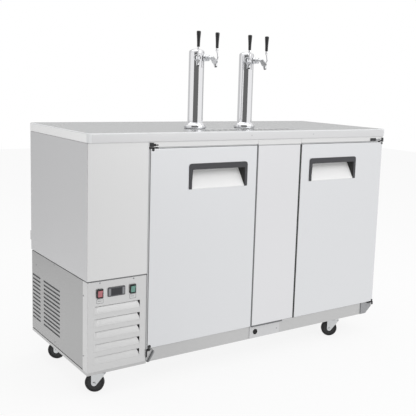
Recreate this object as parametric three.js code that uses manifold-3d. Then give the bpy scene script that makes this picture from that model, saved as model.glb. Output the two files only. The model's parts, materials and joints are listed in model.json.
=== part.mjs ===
// Draft beer cooler: an insulated keg cabinet on casters, with a compressor bay at its left end,
// two swing doors, two tap towers and a drip tray. Millimetres, +Z up. The origin is on the floor
// under the middle of the worktop, and the front faces -Y.

import * as THREE from "three";
import { mergeVertices } from "three/addons/utils/BufferGeometryUtils.js";
import Module from "manifold-3d";

const wasm = await Module();
wasm.setup();

// Clearances and sheet
const SEAT = 0.3;
const OVERRUN = 2;
const SHEET = 1.6;
const BEND_RADIUS = 3;
const WELD_TOLERANCE = 0.0001;

// Worktop
const WORKTOP_WIDTH = 1560;
const WORKTOP_DEPTH = 622;
const WORKTOP_HEIGHT = 1035;
const APRON_HEIGHT = 37;
const WORKTOP_CORNER = 14;
const WORKTOP_ROLL = 4;

// Cabinet
const SIDE_INSET = 2;
const FACE_INSET = 10;
const BACK_INSET = 8;
const WALL = 50;
const BASE_HEIGHT = 56.5;
const BAY_WIDTH = 256;
const BAY_HEIGHT = 364;
const PAN_HEIGHT = 12;
const HEADER_HEIGHT = 20;
const SPACER_WIDTH = 30;
const SPACER_HEIGHT = 40;
const SPACER_RISE = 42;
const LINER = 1.5;
const FLOOR_RIB_HEIGHT = 4;
const FLOOR_RIB_WIDTH = 14;
const FLOOR_RIB_PITCH = 90;

// Doors
const CENTRE_PANEL_WIDTH = 243.5;
const DOOR_THICKNESS = 48;
const DOOR_TOP_GAP = 7;
const DOOR_BOTTOM_GAP = 5.5;
const HINGE_SIDE_GAP = 7.5;
const FREE_SIDE_GAP = 4.5;
const DOOR_RIM = 2.5;
const DOOR_FRAME_LAP = 26;
const INNER_PANEL_RISE = 10;
const INNER_PANEL_CLEARANCE = 16;
const GASKET_THICKNESS = 6;
const GASKET_WIDTH = 16;
const GASKET_OFFSET = 5;

// Door handles
const HANDLE_WIDTH = 292;
const HANDLE_HEIGHT = 105;
const HANDLE_TOP_BELOW_DOOR = 65;
const HANDLE_FROM_FREE_EDGE = 50;
const HANDLE_TRIM = 2.5;
const HANDLE_BAR = 25;
const HANDLE_SIDE = 14;
const HANDLE_LAP = 6;
const PLATE_LIP = 2;
const HANDLE_CORNER = 12;
const HANDLE_WALL = 2.5;
const HANDLE_REACH = 38;
const HANDLE_LIP = 12;

// Hinges
const HINGE_PIN_INSET = 12;
const HINGE_PIN_DIAMETER = 9;
const HINGE_PIN_REACH = 24;
const HINGE_PLATE = 3;
const UPPER_HINGE_RISE = 8;
const UPPER_HINGE_HEAD = 15;
const LOWER_HINGE_LENGTH = 68;
const SHORT_HINGE_LENGTH = 28;
const HINGE_FLANGE = 16;
const HINGE_TAB_DEPTH = 26;
const HINGE_TAB_LENGTH = 30;
const HINGE_COLLAR = 15;
const HINGE_COLLAR_HEIGHT = 1;
const LOWER_HINGE_FOOT = 36;

// Base
const RAIL_INSET = 14;
const RAIL_DEPTH = 40;
const RAIL_END_INSET = 24;
const CROSS_RAIL_WIDTH = 80;
const PLUG_DIAMETER = 25;
const PLUG_RISE = 4;
const PLUG_STEM = 16;
const PLUG_X = 41;
const PLUG_Z = 127;

// Casters
const CASTER_HEIGHT = 98;
const WHEEL_DIAMETER = 77;
const WHEEL_WIDTH = 24;
const WHEEL_HUB_DIAMETER = 32;
const WHEEL_CROWN = 4;
const AXLE_DIAMETER = 8;
const CASTER_TRAIL = 25;
const CASTER_PLATE_WIDTH = 62;
const CASTER_PLATE_DEPTH = 50;
const CASTER_PLATE = 2.5;
const CASTER_STEM_DIAMETER = 18;
const FORK_SHEET = 3;
const FORK_HEAD_DIAMETER = 42;
const FORK_CLEARANCE = 3;
const FORK_EYE_RADIUS = 11;
const CASTER_TURN = -35.6;
const CASTER_FROM_LEFT = 85;
const CASTER_FROM_RIGHT = 209;
const CASTER_FROM_FRONT = 53;
const CASTER_FROM_BACK = 153;

// Louvred front panel and slotted cover of the compressor bay
const LOUVRE_COUNT = 5;
const LOUVRE_LENGTH = 198;
const LOUVRE_PITCH = 50.4;
const LOUVRE_TOP_Z = 370.5;
const LOUVRE_HEIGHT = 32;
const LOUVRE_DEPTH = 10;
const LOUVRE_SLIT = 2.5;
const LOUVRE_FROM_LEFT = 29;
const PANEL_RETURN = 12;
const PANEL_WRAP = 42;
const BAY_STEP = 3;
const SLOT_COUNT = 12;
const SLOT_PITCH = 17.6;
const SLOT_HEIGHT = 8;
const SLOT_TOP_Z = 366;
const SLOT_FROM_BACK = 329;
const SLOT_LENGTH = 186;
const SLOT_BRIDGE = 36;
const SLOT_REAR_LENGTH = 96;
const BACK_SLOT_LENGTH = 190;
const GLAND_DIAMETER = 22;
const GLAND_BORE = 9;

// Controls
const CONTROLLER_WIDTH = 74;
const CONTROLLER_HEIGHT = 37;
const CONTROLLER_RISE = 3;
const CONTROLLER_DEPTH = 55;
const CONTROLLER_CORNER = 4;
const CONTROLLER_FROM_LEFT = 124;
const CONTROLS_Z = 421;
const CONTROLLER_FRAME_WIDTH = 5;
const WINDOW_RECESS = 1.5;
const SWITCH_WIDTH = 26;
const SWITCH_HEIGHT = 36;
const SWITCH_RISE = 7;
const SWITCH_DEPTH = 26;
const POWER_SWITCH_FROM_LEFT = 54;
const LIGHT_SWITCH_FROM_LEFT = 194;
const SWITCH_FRAME_WIDTH = 3;
const ROCKER_RISE = 4;
const ROCKER_ROOT = 8;
const ROCKER_TILT = 8;

// Refrigeration
const COMPRESSOR_DIAMETER = 170;
const COMPRESSOR_HEIGHT = 185;
const COMPRESSOR_FROM_LEFT = 130;
const COMPRESSOR_FROM_BACK = 173;
const COMPRESSOR_SEAM = 4;
const COMPRESSOR_FOOT_SPAN = 200;
const COMPRESSOR_FOOT_SHEET = 4;
const COMPRESSOR_GROMMET = 12;
const GROMMET_DIAMETER = 26;
const TERMINAL_WIDTH = 56;
const TERMINAL_HEIGHT = 62;
const TERMINAL_DEPTH = 26;
const COIL_WIDTH = 206;
const COIL_HEIGHT = 214;
const COIL_DEPTH = 52;
const COIL_GAP = 16;
const COIL_FIN = 3;
const COIL_FIN_PITCH = 30;
const COIL_CORE = 9;
const COIL_TUBE = 9;
const COIL_ROWS = 4;
const PIPE_DIAMETER = 9;
const SHROUD_DEPTH = 24;
const SHROUD_GAP = 3;
const FAN_DIAMETER = 172;
const FAN_HUB_DIAMETER = 46;
const FAN_HUB_LENGTH = 18;
const FAN_BLADE = 2;
const FAN_BLADE_COUNT = 5;
const FAN_PITCH = 26;
const FAN_TIP_GAP = 8;
const MOTOR_DIAMETER = 66;
const MOTOR_LENGTH = 54;
const MOTOR_SHAFT_DIAMETER = 8;
const MOTOR_ARM = 10;

// Evaporator in the alcove over the compressor bay
const EVAPORATOR_WIDTH = 120;
const EVAPORATOR_DEPTH = 380;
const EVAPORATOR_HEIGHT = 200;
const EVAPORATOR_FROM_COVER = 100;
const COVER_RETURN = 14;
const COVER_FAN_RISE = 118;
const COVER_SLOT_COUNT = 6;
const COVER_SLOT_HEIGHT = 13;
const COVER_SLOT_PITCH = 26;
const COVER_SLOT_LENGTH = 300;
const COVER_SLOT_RISE = 28;
const GUARD_WIRE = 4;
const GUARD_RINGS = 2;
const SUCTION_HOLE_DIAMETER = 26;
const SUCTION_FROM_LEFT = 78;
const SUCTION_FROM_BACK = 98;

// Drip tray
const TRAY_X = 12;
const TRAY_WIDTH = 524;
const TRAY_DEPTH = 106;
const TRAY_SINK = 26;
const TRAY_FROM_FRONT = 35;
const TRAY_CORNER = 8;
const TRAY_SHEET = 1.5;
const TRAY_LEDGE = 4;
const GRID_PLATE = 2;
const GRID_DROP = 1;
const GRID_COLUMNS = 16;
const GRID_ROWS = 2;
const GRID_SLOT_WIDTH = 8;
const GRID_BRIDGE = 10;

// Tap towers
const TOWER_LEFT_X = -203;
const TOWER_RIGHT_X = 60;
const TOWER_FROM_FRONT = 189;
const TOWER_TURN = 4;
const COLUMN_DIAMETER = 66;
const COLUMN_HEIGHT = 337;
const COLUMN_WALL = 2;
const COLUMN_CAP = 15;
const FLANGE_DIAMETER = 98;
const FLANGE_HEIGHT = 26;
const FLANGE_RIM = 5;
const LINE_HOLE_DIAMETER = 44;

// Faucets
const FAUCET_ANGLE = 32.5;
const SHANK_BELOW_TOP = 37;
const SHANK_DIAMETER = 22;
const SHANK_TAIL = 6;
const COLLAR_DIAMETER = 30;
const COLLAR_LENGTH = 10;
const NUT_DIAMETER = 26;
const NUT_LENGTH = 13;
const NECK_DIAMETER = 16;
const NECK_END = 75;
const PIVOT_REACH = 84;
const PIVOT_DROP = 14;
const BARREL_DIAMETER = 12;
const BARREL_WIDTH = 8;
const EAR = 3.2;
const EAR_RADIUS = 9;
const SPOUT_DIAMETER = 13;
const SPOUT_BORE = 8;
const SPOUT_DROP = 24;
const SPOUT_REACH = 4;
const LEVER_DIAMETER = 7;
const LEVER_BEND = 10;
const LEVER_RISE = 41;
const FERRULE_DIAMETER = 12;
const FERRULE_HEIGHT = 14;
const HANDLE_FOOT_DIAMETER = 11;
const HANDLE_HEAD_DIAMETER = 17;
const TAP_HANDLE_HEIGHT = 65;

// Beer lines inside the towers
const SLEEVE_DIAMETER = 38;
const HOSE_DIAMETER = 10;
const HOSE_SPREAD = 10;
const LINE_TAIL = 40;

// Fineness of round work
const ROUND_MANY = 16;
const ROUND_SOME = 8;
const ROUND_FEW = 6;
const PIPE_SIDES = 6;
const ARC_STEPS = 2;
const SLOT_END_STEPS = 2;

// Places worked out from the sizes above
const RIGHT = WORKTOP_WIDTH / 2 - SIDE_INSET;
const LEFT = -RIGHT;
const FRONT_EDGE = -WORKTOP_DEPTH / 2;
const FACE_Y = FRONT_EDGE + FACE_INSET;
const BACK_Y = WORKTOP_DEPTH / 2 - BACK_INSET;
const DOOR_BACK_Y = FACE_Y + DOOR_THICKNESS;
const FRAME_Y = DOOR_BACK_Y + GASKET_THICKNESS;
const BASE_TOP = CASTER_HEIGHT + BASE_HEIGHT;
const PAN_TOP = CASTER_HEIGHT + PAN_HEIGHT;
const BAY_TOP = PAN_TOP + BAY_HEIGHT;
const BODY_TOP = WORKTOP_HEIGHT - APRON_HEIGHT;
const HEADER_Z = BODY_TOP - HEADER_HEIGHT;
const DOOR_TOP = HEADER_Z - DOOR_TOP_GAP;
const DOOR_BOTTOM = BASE_TOP + DOOR_BOTTOM_GAP;
const BAY_RIGHT = LEFT + BAY_WIDTH;
const BAY_LEFT = LEFT + BAY_STEP;
const BAY_FACE_Y = FACE_Y + BAY_STEP;
const CABINET_LEFT = BAY_RIGHT + HINGE_SIDE_GAP / 2;
const DOOR1_LEFT = BAY_RIGHT + HINGE_SIDE_GAP;
const DOOR2_RIGHT = RIGHT - SIDE_INSET;
const DOOR_WIDTH = (DOOR2_RIGHT - DOOR1_LEFT - CENTRE_PANEL_WIDTH) / 2 - FREE_SIDE_GAP;
const DOOR1_RIGHT = DOOR1_LEFT + DOOR_WIDTH;
const DOOR2_LEFT = DOOR2_RIGHT - DOOR_WIDTH;
const CENTRE_LEFT = DOOR1_RIGHT + FREE_SIDE_GAP;
const CENTRE_RIGHT = DOOR2_LEFT - FREE_SIDE_GAP;
const BAY_IN_LEFT = CABINET_LEFT + WALL;
const BAY_IN_RIGHT = RIGHT - WALL;
const BAY_IN_FLOOR = BASE_TOP + WALL;
const BAY_IN_TOP = BODY_TOP - WALL;
const BAY_IN_BACK = BACK_Y - WALL;
const ALCOVE_LEFT = LEFT + WALL;
const ALCOVE_FLOOR = BAY_TOP + WALL;
const RAIL_Y = FACE_Y + RAIL_INSET;
const RAIL_RIGHT = RIGHT - SIDE_INSET - RAIL_END_INSET;
const POST_LEFT = DOOR1_RIGHT - DOOR_FRAME_LAP;
const POST_RIGHT = DOOR2_LEFT + DOOR_FRAME_LAP;
const TRAY_FRONT = FRONT_EDGE + TRAY_FROM_FRONT;
const TRAY_BACK = TRAY_FRONT + TRAY_DEPTH;
const TRAY_LEFT = TRAY_X - TRAY_WIDTH / 2;
const TRAY_RIGHT = TRAY_X + TRAY_WIDTH / 2;
const TOWER_Y = FRONT_EDGE + TOWER_FROM_FRONT;
const CASTER_LEFT_X = LEFT + CASTER_FROM_LEFT;
const CASTER_RIGHT_X = RIGHT - CASTER_FROM_RIGHT;
const CASTER_FRONT_Y = FACE_Y + CASTER_FROM_FRONT;
const CASTER_REAR_Y = BACK_Y - CASTER_FROM_BACK;
const SLOT_FRONT_Y = BACK_Y - SLOT_FROM_BACK;
const CONTROLLER_X = LEFT + CONTROLLER_FROM_LEFT;
const SWITCH_LEFT_X = LEFT + POWER_SWITCH_FROM_LEFT;
const SWITCH_RIGHT_X = LEFT + LIGHT_SWITCH_FROM_LEFT;
const COMPRESSOR_X = LEFT + COMPRESSOR_FROM_LEFT;
const COMPRESSOR_Y = BACK_Y - COMPRESSOR_FROM_BACK;
const SUCTION_X = LEFT + SUCTION_FROM_LEFT;
const SUCTION_Y = BACK_Y - SUCTION_FROM_BACK;

const DEGREE = Math.PI / 180;
const X = new THREE.Vector3(1, 0, 0);
const Y = new THREE.Vector3(0, 1, 0);
const Z = new THREE.Vector3(0, 0, 1);
const TURN_FOR = {
  x: new THREE.Matrix4().makeBasis(Y, Z, X),
  y: new THREE.Matrix4().makeBasis(X, Z, Y.clone().negate()),
  z: new THREE.Matrix4(),
};

// A closed geometry as a solid that can be joined and cut.
function solid(geometry) {
  const bare = new THREE.BufferGeometry();
  const loose = geometry.index ? geometry.toNonIndexed() : geometry;
  bare.setAttribute("position", loose.getAttribute("position"));
  const merged = mergeVertices(bare, WELD_TOLERANCE);
  const corners = merged.index.array;
  const kept = [];
  for (let i = 0; i < corners.length; i += 3) {
    const [a, b, c] = corners.slice(i, i + 3);
    if (a !== b && b !== c && c !== a) kept.push(a, b, c);
  }
  const make = (triangles) =>
    new wasm.Manifold(
      new wasm.Mesh({
        numProp: 3,
        vertProperties: merged.getAttribute("position").array,
        triVerts: new Uint32Array(triangles),
      }),
    );
  const made = make(kept);
  return made.volume() < 0 ? make(kept.reverse()) : made;
}

// A box from its low corner to its high corner.
function block(low, high) {
  const size = low.map((value, i) => high[i] - value);
  const centre = low.map((value, i) => (value + high[i]) / 2);
  return solid(new THREE.BoxGeometry(...size).translate(...centre));
}

// An outline with straight sides; a third number on a point rounds that corner.
function outline(points) {
  const shape = new THREE.Shape();
  const count = points.length;
  points.forEach(([px, py, radius = 0], i) => {
    const here = new THREE.Vector2(px, py);
    const before = new THREE.Vector2(...points[(i + count - 1) % count].slice(0, 2));
    const after = new THREE.Vector2(...points[(i + 1) % count].slice(0, 2));
    const start = here.clone().add(before.sub(here).setLength(radius));
    const end = here.clone().add(after.sub(here).setLength(radius));
    if (i === 0) shape.moveTo(start.x, start.y);
    else shape.lineTo(start.x, start.y);
    if (radius > 0) shape.quadraticCurveTo(here.x, here.y, end.x, end.y);
  });
  shape.closePath();
  return shape;
}

function rectangle(left, low, right, high, radius = 0) {
  return outline([
    [left, low, radius],
    [right, low, radius],
    [right, high, radius],
    [left, high, radius],
  ]);
}

function polygon(radius, sides, centreX = 0, centreY = 0) {
  const points = [];
  for (let i = 0; i < sides; i += 1) {
    const angle = (2 * Math.PI * i) / sides;
    points.push([centreX + radius * Math.cos(angle), centreY + radius * Math.sin(angle)]);
  }
  return outline(points);
}

// The corner radius of a many-sided bore in which a bar of the given radius can turn freely
function turningBore(radius, sides) {
  return (radius + SEAT) / Math.cos(Math.PI / sides);
}

// A slot outline with half-round ends
function stadium(left, low, right, high) {
  const radius = (high - low) / 2;
  const points = [];
  for (const [centre, start] of [
    [right - radius, -90],
    [left + radius, 90],
  ]) {
    for (let i = 0; i <= SLOT_END_STEPS; i += 1) {
      const angle = (start + (i * 180) / SLOT_END_STEPS) * DEGREE;
      points.push([centre + radius * Math.cos(angle), low + radius + radius * Math.sin(angle)]);
    }
  }
  return outline(points);
}

// An outline pushed along an axis: (y, z) along x, (x, z) along y, or (x, y) along z.
function prism(shape, axis, from, to, edge = 0, edgeSteps = 1) {
  const geometry = new THREE.ExtrudeGeometry(shape, {
    depth: to - from - 2 * edge,
    bevelEnabled: edge > 0,
    bevelSize: edge,
    bevelThickness: edge,
    bevelOffset: -edge,
    bevelSegments: edgeSteps,
    curveSegments: ARC_STEPS,
  });
  geometry.translate(0, 0, edge);
  geometry.applyMatrix4(TURN_FOR[axis]);
  const shift = axis === "y" ? to : from;
  geometry.translate(axis === "x" ? shift : 0, axis === "y" ? shift : 0, axis === "z" ? shift : 0);
  return solid(geometry);
}

// A profile of [radius, height] points turned about Z.
function turned(profile, segments) {
  const points = profile.map(([radius, height]) => new THREE.Vector2(radius, height));
  return solid(new THREE.LatheGeometry(points, segments).rotateX(Math.PI / 2));
}

// A plain round bar along Z.
function bar(radius, from, to, segments, x = 0, y = 0) {
  return prism(polygon(radius, segments, x, y), "z", from, to);
}

// A round tube or rod along a smooth line of points.
function rod(points, radius, sides, steps) {
  const line = new THREE.CatmullRomCurve3(points.map((p) => new THREE.Vector3(...p)));
  const shape = polygon(radius, sides);
  return solid(new THREE.ExtrudeGeometry(shape, { steps, extrudePath: line, bevelEnabled: false }));
}

function moved(body, matrix) {
  const mesh = body.getMesh();
  const geometry = new THREE.BufferGeometry();
  geometry.setAttribute("position", new THREE.BufferAttribute(mesh.vertProperties, 3));
  geometry.setIndex(new THREE.BufferAttribute(mesh.triVerts, 1));
  return solid(geometry.applyMatrix4(matrix));
}

function shifted(body, x, y, z) {
  return moved(body, new THREE.Matrix4().makeTranslation(x, y, z));
}

function turnedAbout(body, axis, degrees) {
  return moved(body, new THREE.Matrix4().makeRotationAxis(axis, degrees * DEGREE));
}

function joined(bodies) {
  return bodies.reduce((whole, next) => whole.add(next));
}

const cooler = new THREE.Group();

function piece(name, body, colour, roughness, metalness, parent = cooler) {
  const mesh = body.getMesh();
  const geometry = new THREE.BufferGeometry();
  geometry.setAttribute("position", new THREE.BufferAttribute(mesh.vertProperties, 3));
  geometry.setIndex(new THREE.BufferAttribute(mesh.triVerts, 1));
  geometry.computeVertexNormals();
  const material = new THREE.MeshStandardMaterial({ color: colour, roughness, metalness });
  const made = new THREE.Mesh(geometry, material);
  made.name = name;
  parent.add(made);
  return made;
}

const STEEL = [0xd9dadc, 0.35, 0.9];
const ZINC = [0xb9babb, 0.45, 0.8];
const CHROME = [0xe6e7e8, 0.08, 1];
const COPPER = [0xb87a52, 0.35, 1];
const BLACK_PLASTIC = [0x2b2b2c, 0.5, 0];

// Worktop: one folded slab with rolled edges, cut for the drip tray and the two tower lines
function makeWorktop() {
  const halfWidth = WORKTOP_WIDTH / 2;
  const halfDepth = WORKTOP_DEPTH / 2;
  const plan = rectangle(-halfWidth, -halfDepth, halfWidth, halfDepth, WORKTOP_CORNER);
  let top = prism(plan, "z", BODY_TOP, WORKTOP_HEIGHT, WORKTOP_ROLL, 2);
  const well = rectangle(TRAY_LEFT, TRAY_FRONT, TRAY_RIGHT, TRAY_BACK, TRAY_CORNER);
  top = top.subtract(prism(well, "z", WORKTOP_HEIGHT - TRAY_SINK, WORKTOP_HEIGHT + OVERRUN));
  for (const x of [TOWER_LEFT_X, TOWER_RIGHT_X]) {
    const hole = bar(
      LINE_HOLE_DIAMETER / 2,
      BODY_TOP - OVERRUN,
      WORKTOP_HEIGHT + OVERRUN,
      ROUND_SOME,
      x,
      TOWER_Y,
    );
    top = top.subtract(hole);
  }
  piece("worktop", top, ...STEEL);
}

// Drip tray: a pan with a ledge all round, and the slotted grid that rests on the ledge
function makeDripTray() {
  const trayBottom = WORKTOP_HEIGHT - TRAY_SINK + SEAT;
  const trayTop = WORKTOP_HEIGHT - GRID_DROP;
  const ledgeZ = trayTop - GRID_PLATE - SEAT;
  const ring = (inset) =>
    rectangle(
      TRAY_LEFT + inset,
      TRAY_FRONT + inset,
      TRAY_RIGHT - inset,
      TRAY_BACK - inset,
      TRAY_CORNER - inset,
    );
  const pocketInset = SEAT + TRAY_SHEET;
  const basinInset = pocketInset + TRAY_LEDGE;
  const tray = prism(ring(SEAT), "z", trayBottom, trayTop)
    .subtract(prism(ring(pocketInset), "z", ledgeZ, trayTop + OVERRUN))
    .subtract(prism(ring(basinInset), "z", trayBottom + TRAY_SHEET, trayTop + OVERRUN));
  piece("drip_tray", tray, ...STEEL);

  const gridInset = pocketInset + SEAT;
  let grid = prism(ring(gridInset), "z", ledgeZ + SEAT, ledgeZ + SEAT + GRID_PLATE);
  const usableWidth = TRAY_WIDTH - 2 * basinInset - 2 * GRID_BRIDGE;
  const usableDepth = TRAY_DEPTH - 2 * basinInset - GRID_BRIDGE;
  const pitchX = usableWidth / GRID_COLUMNS;
  const pitchY = usableDepth / GRID_ROWS;
  for (let column = 0; column < GRID_COLUMNS; column += 1) {
    for (let row = 0; row < GRID_ROWS; row += 1) {
      const x = TRAY_X - usableWidth / 2 + pitchX * (column + 0.5);
      const y = (TRAY_FRONT + TRAY_BACK) / 2 - usableDepth / 2 + pitchY * (row + 0.5);
      const halfSlot = (pitchY - GRID_BRIDGE) / 2;
      const low = [x - GRID_SLOT_WIDTH / 2, y - halfSlot, ledgeZ - OVERRUN];
      const high = [x + GRID_SLOT_WIDTH / 2, y + halfSlot, trayTop + OVERRUN];
      grid = grid.subtract(block(low, high));
    }
  }
  piece("drip_grid", grid, ...STEEL);
}

// Insulated cabinet: walls round the keg bay, the alcove over the compressor bay, and the header
function makeCabinet() {
  const upper = outline([
    [LEFT, FACE_Y, BEND_RADIUS],
    [BAY_RIGHT, FACE_Y, BEND_RADIUS],
    [BAY_RIGHT, FRAME_Y],
    [RIGHT, FRAME_Y, BEND_RADIUS],
    [RIGHT, BACK_Y, BEND_RADIUS],
    [LEFT, BACK_Y, BEND_RADIUS],
  ]);
  const lower = outline([
    [CABINET_LEFT, FRAME_Y, BEND_RADIUS],
    [RIGHT, FRAME_Y, BEND_RADIUS],
    [RIGHT, BACK_Y, BEND_RADIUS],
    [CABINET_LEFT, BACK_Y, BEND_RADIUS],
  ]);
  const top = BODY_TOP - SEAT;
  const headerEnds = [
    [BAY_RIGHT - OVERRUN, CENTRE_LEFT - SEAT],
    [CENTRE_RIGHT + SEAT, RIGHT],
  ];
  const headers = headerEnds.map(([from, to]) =>
    block([from, FACE_Y, HEADER_Z], [to, FRAME_Y + OVERRUN, top]),
  );
  const spacers = [LEFT, RIGHT - SPACER_WIDTH].map((x) =>
    block(
      [x, BACK_Y - OVERRUN, BAY_TOP + SPACER_RISE],
      [x + SPACER_WIDTH, BACK_Y + BACK_INSET, BAY_TOP + SPACER_RISE + SPACER_HEIGHT],
    ),
  );
  let shell = joined([
    prism(upper, "z", BAY_TOP + SEAT, top),
    prism(lower, "z", BASE_TOP + SEAT, BAY_TOP + OVERRUN),
    ...headers,
    ...spacers,
  ]);
  shell = shell
    .subtract(
      block([BAY_IN_LEFT, FRAME_Y - OVERRUN, BAY_IN_FLOOR], [BAY_IN_RIGHT, BAY_IN_BACK, BAY_IN_TOP]),
    )
    .subtract(block([ALCOVE_LEFT, FRAME_Y, ALCOVE_FLOOR], [BAY_IN_RIGHT, BAY_IN_BACK, BAY_IN_TOP]));
  const post = block(
    [POST_LEFT, FRAME_Y, BAY_IN_FLOOR - OVERRUN],
    [POST_RIGHT, FRAME_Y + WALL, BAY_IN_TOP + OVERRUN],
  );
  shell = shell.add(post);
  for (const x of [TOWER_LEFT_X, TOWER_RIGHT_X]) {
    const hole = bar(
      LINE_HOLE_DIAMETER / 2,
      BAY_IN_TOP - OVERRUN,
      BODY_TOP + OVERRUN,
      ROUND_SOME,
      x,
      TOWER_Y,
    );
    shell = shell.subtract(hole);
  }
  const pipeHole = bar(
    SUCTION_HOLE_DIAMETER / 2,
    BAY_TOP - OVERRUN,
    ALCOVE_FLOOR + OVERRUN,
    ROUND_FEW,
    SUCTION_X,
    SUCTION_Y,
  );
  shell = shell.subtract(pipeHole);
  piece("cabinet_shell", shell, ...STEEL);

  const bay = (inset, frontY) =>
    block(
      [BAY_IN_LEFT + inset, frontY, BAY_IN_FLOOR + inset],
      [BAY_IN_RIGHT - inset, BAY_IN_BACK - inset, BAY_IN_TOP - inset],
    );
  const alcove = (inset) =>
    block(
      [ALCOVE_LEFT + inset, FRAME_Y + inset, ALCOVE_FLOOR + inset],
      [BAY_IN_RIGHT - inset, BAY_IN_BACK - inset, BAY_IN_TOP - inset],
    );
  const innerInset = SEAT + LINER;
  let liner = bay(SEAT, FRAME_Y + SEAT)
    .add(alcove(SEAT))
    .subtract(bay(innerInset, FRAME_Y - OVERRUN))
    .subtract(alcove(innerInset));
  const ribFloor = BAY_IN_FLOOR + SEAT;
  const ribCount = Math.floor((BAY_IN_RIGHT - BAY_IN_LEFT) / FLOOR_RIB_PITCH) - 1;
  const ribStart = (BAY_IN_LEFT + BAY_IN_RIGHT - (ribCount - 1) * FLOOR_RIB_PITCH) / 2;
  for (let i = 0; i < ribCount; i += 1) {
    const x = ribStart + i * FLOOR_RIB_PITCH;
    const half = FLOOR_RIB_WIDTH / 2;
    const crown = LINER + FLOOR_RIB_HEIGHT;
    const ridge = outline([
      [x - half, ribFloor],
      [x + half, ribFloor],
      [x + half / 2, ribFloor + crown],
      [x - half / 2, ribFloor + crown],
    ]);
    const start = FRAME_Y + WALL + FLOOR_RIB_WIDTH;
    liner = liner.add(prism(ridge, "y", start, BAY_IN_BACK - WALL));
  }
  const postRoom = block(
    [POST_LEFT - SEAT, FRAME_Y - OVERRUN, BAY_IN_FLOOR - OVERRUN],
    [POST_RIGHT + SEAT, FRAME_Y + WALL + SEAT, BAY_IN_TOP + OVERRUN],
  );
  liner = liner.subtract(postRoom);
  for (const x of [TOWER_LEFT_X, TOWER_RIGHT_X]) {
    const hole = bar(
      LINE_HOLE_DIAMETER / 2,
      BAY_IN_TOP - WALL,
      BODY_TOP,
      ROUND_SOME,
      x,
      TOWER_Y,
    );
    liner = liner.subtract(hole);
  }
  const linerPipeHole = bar(
    SUCTION_HOLE_DIAMETER / 2,
    BAY_TOP,
    ALCOVE_FLOOR + WALL,
    ROUND_FEW,
    SUCTION_X,
    SUCTION_Y,
  );
  piece("cabinet_liner", liner.subtract(linerPipeHole), 0xc9cacc, 0.4, 0.9);
}

// Fixed insulated panel between the two doors
function makeCentrePanel() {
  const face = rectangle(CENTRE_LEFT, BASE_TOP + SEAT, CENTRE_RIGHT, BODY_TOP - SEAT);
  piece("centre_panel", prism(face, "y", FACE_Y, FRAME_Y - SEAT, DOOR_RIM, 2), ...STEEL);
}

// Base: a ring of rail under the keg bay, and the shallow pan that carries the compressor
function makeBase() {
  const railTop = BASE_TOP;
  const railBack = BACK_Y - BACK_INSET;
  const ring = block([BAY_RIGHT, RAIL_Y, CASTER_HEIGHT], [RAIL_RIGHT, railBack, railTop]).subtract(
    block(
      [BAY_RIGHT + RAIL_DEPTH, RAIL_Y + RAIL_DEPTH, CASTER_HEIGHT - OVERRUN],
      [RAIL_RIGHT - RAIL_DEPTH, railBack - RAIL_DEPTH, railTop + OVERRUN],
    ),
  );
  const panLeft = BAY_LEFT;
  const panFront = BAY_FACE_Y;
  const panBack = BACK_Y - SHEET - SEAT;
  const pan = block(
    [panLeft, panFront, CASTER_HEIGHT],
    [BAY_RIGHT + OVERRUN, panBack, PAN_TOP],
  ).subtract(
    block(
      [panLeft + SHEET, panFront + SHEET, CASTER_HEIGHT + SHEET],
      [BAY_RIGHT - SHEET, panBack - SHEET, PAN_TOP + OVERRUN],
    ),
  );
  const plugHole = prism(
    polygon(PLUG_STEM / 2, ROUND_SOME, PLUG_X, PLUG_Z),
    "y",
    RAIL_Y - OVERRUN,
    RAIL_Y + RAIL_DEPTH + OVERRUN,
  );
  const crossRail = block(
    [CASTER_RIGHT_X - CROSS_RAIL_WIDTH / 2, RAIL_Y + RAIL_DEPTH / 2, CASTER_HEIGHT],
    [CASTER_RIGHT_X + CROSS_RAIL_WIDTH / 2, railBack - RAIL_DEPTH / 2, CASTER_HEIGHT + PAN_HEIGHT],
  );
  piece("base_frame", joined([ring, pan, crossRail]).subtract(plugHole), ...ZINC);

  const head = (radius, from, to, edge) =>
    prism(polygon(radius, ROUND_SOME, PLUG_X, PLUG_Z), "y", from, to, edge);
  const plug = head(PLUG_DIAMETER / 2, RAIL_Y - PLUG_RISE, RAIL_Y - SEAT, PLUG_RISE / 4).add(
    head(PLUG_STEM / 2 - SEAT, RAIL_Y - PLUG_RISE / 2, RAIL_Y + RAIL_DEPTH / 2, 0),
  );
  piece("drain_plug", plug, ...BLACK_PLASTIC);
}

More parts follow.
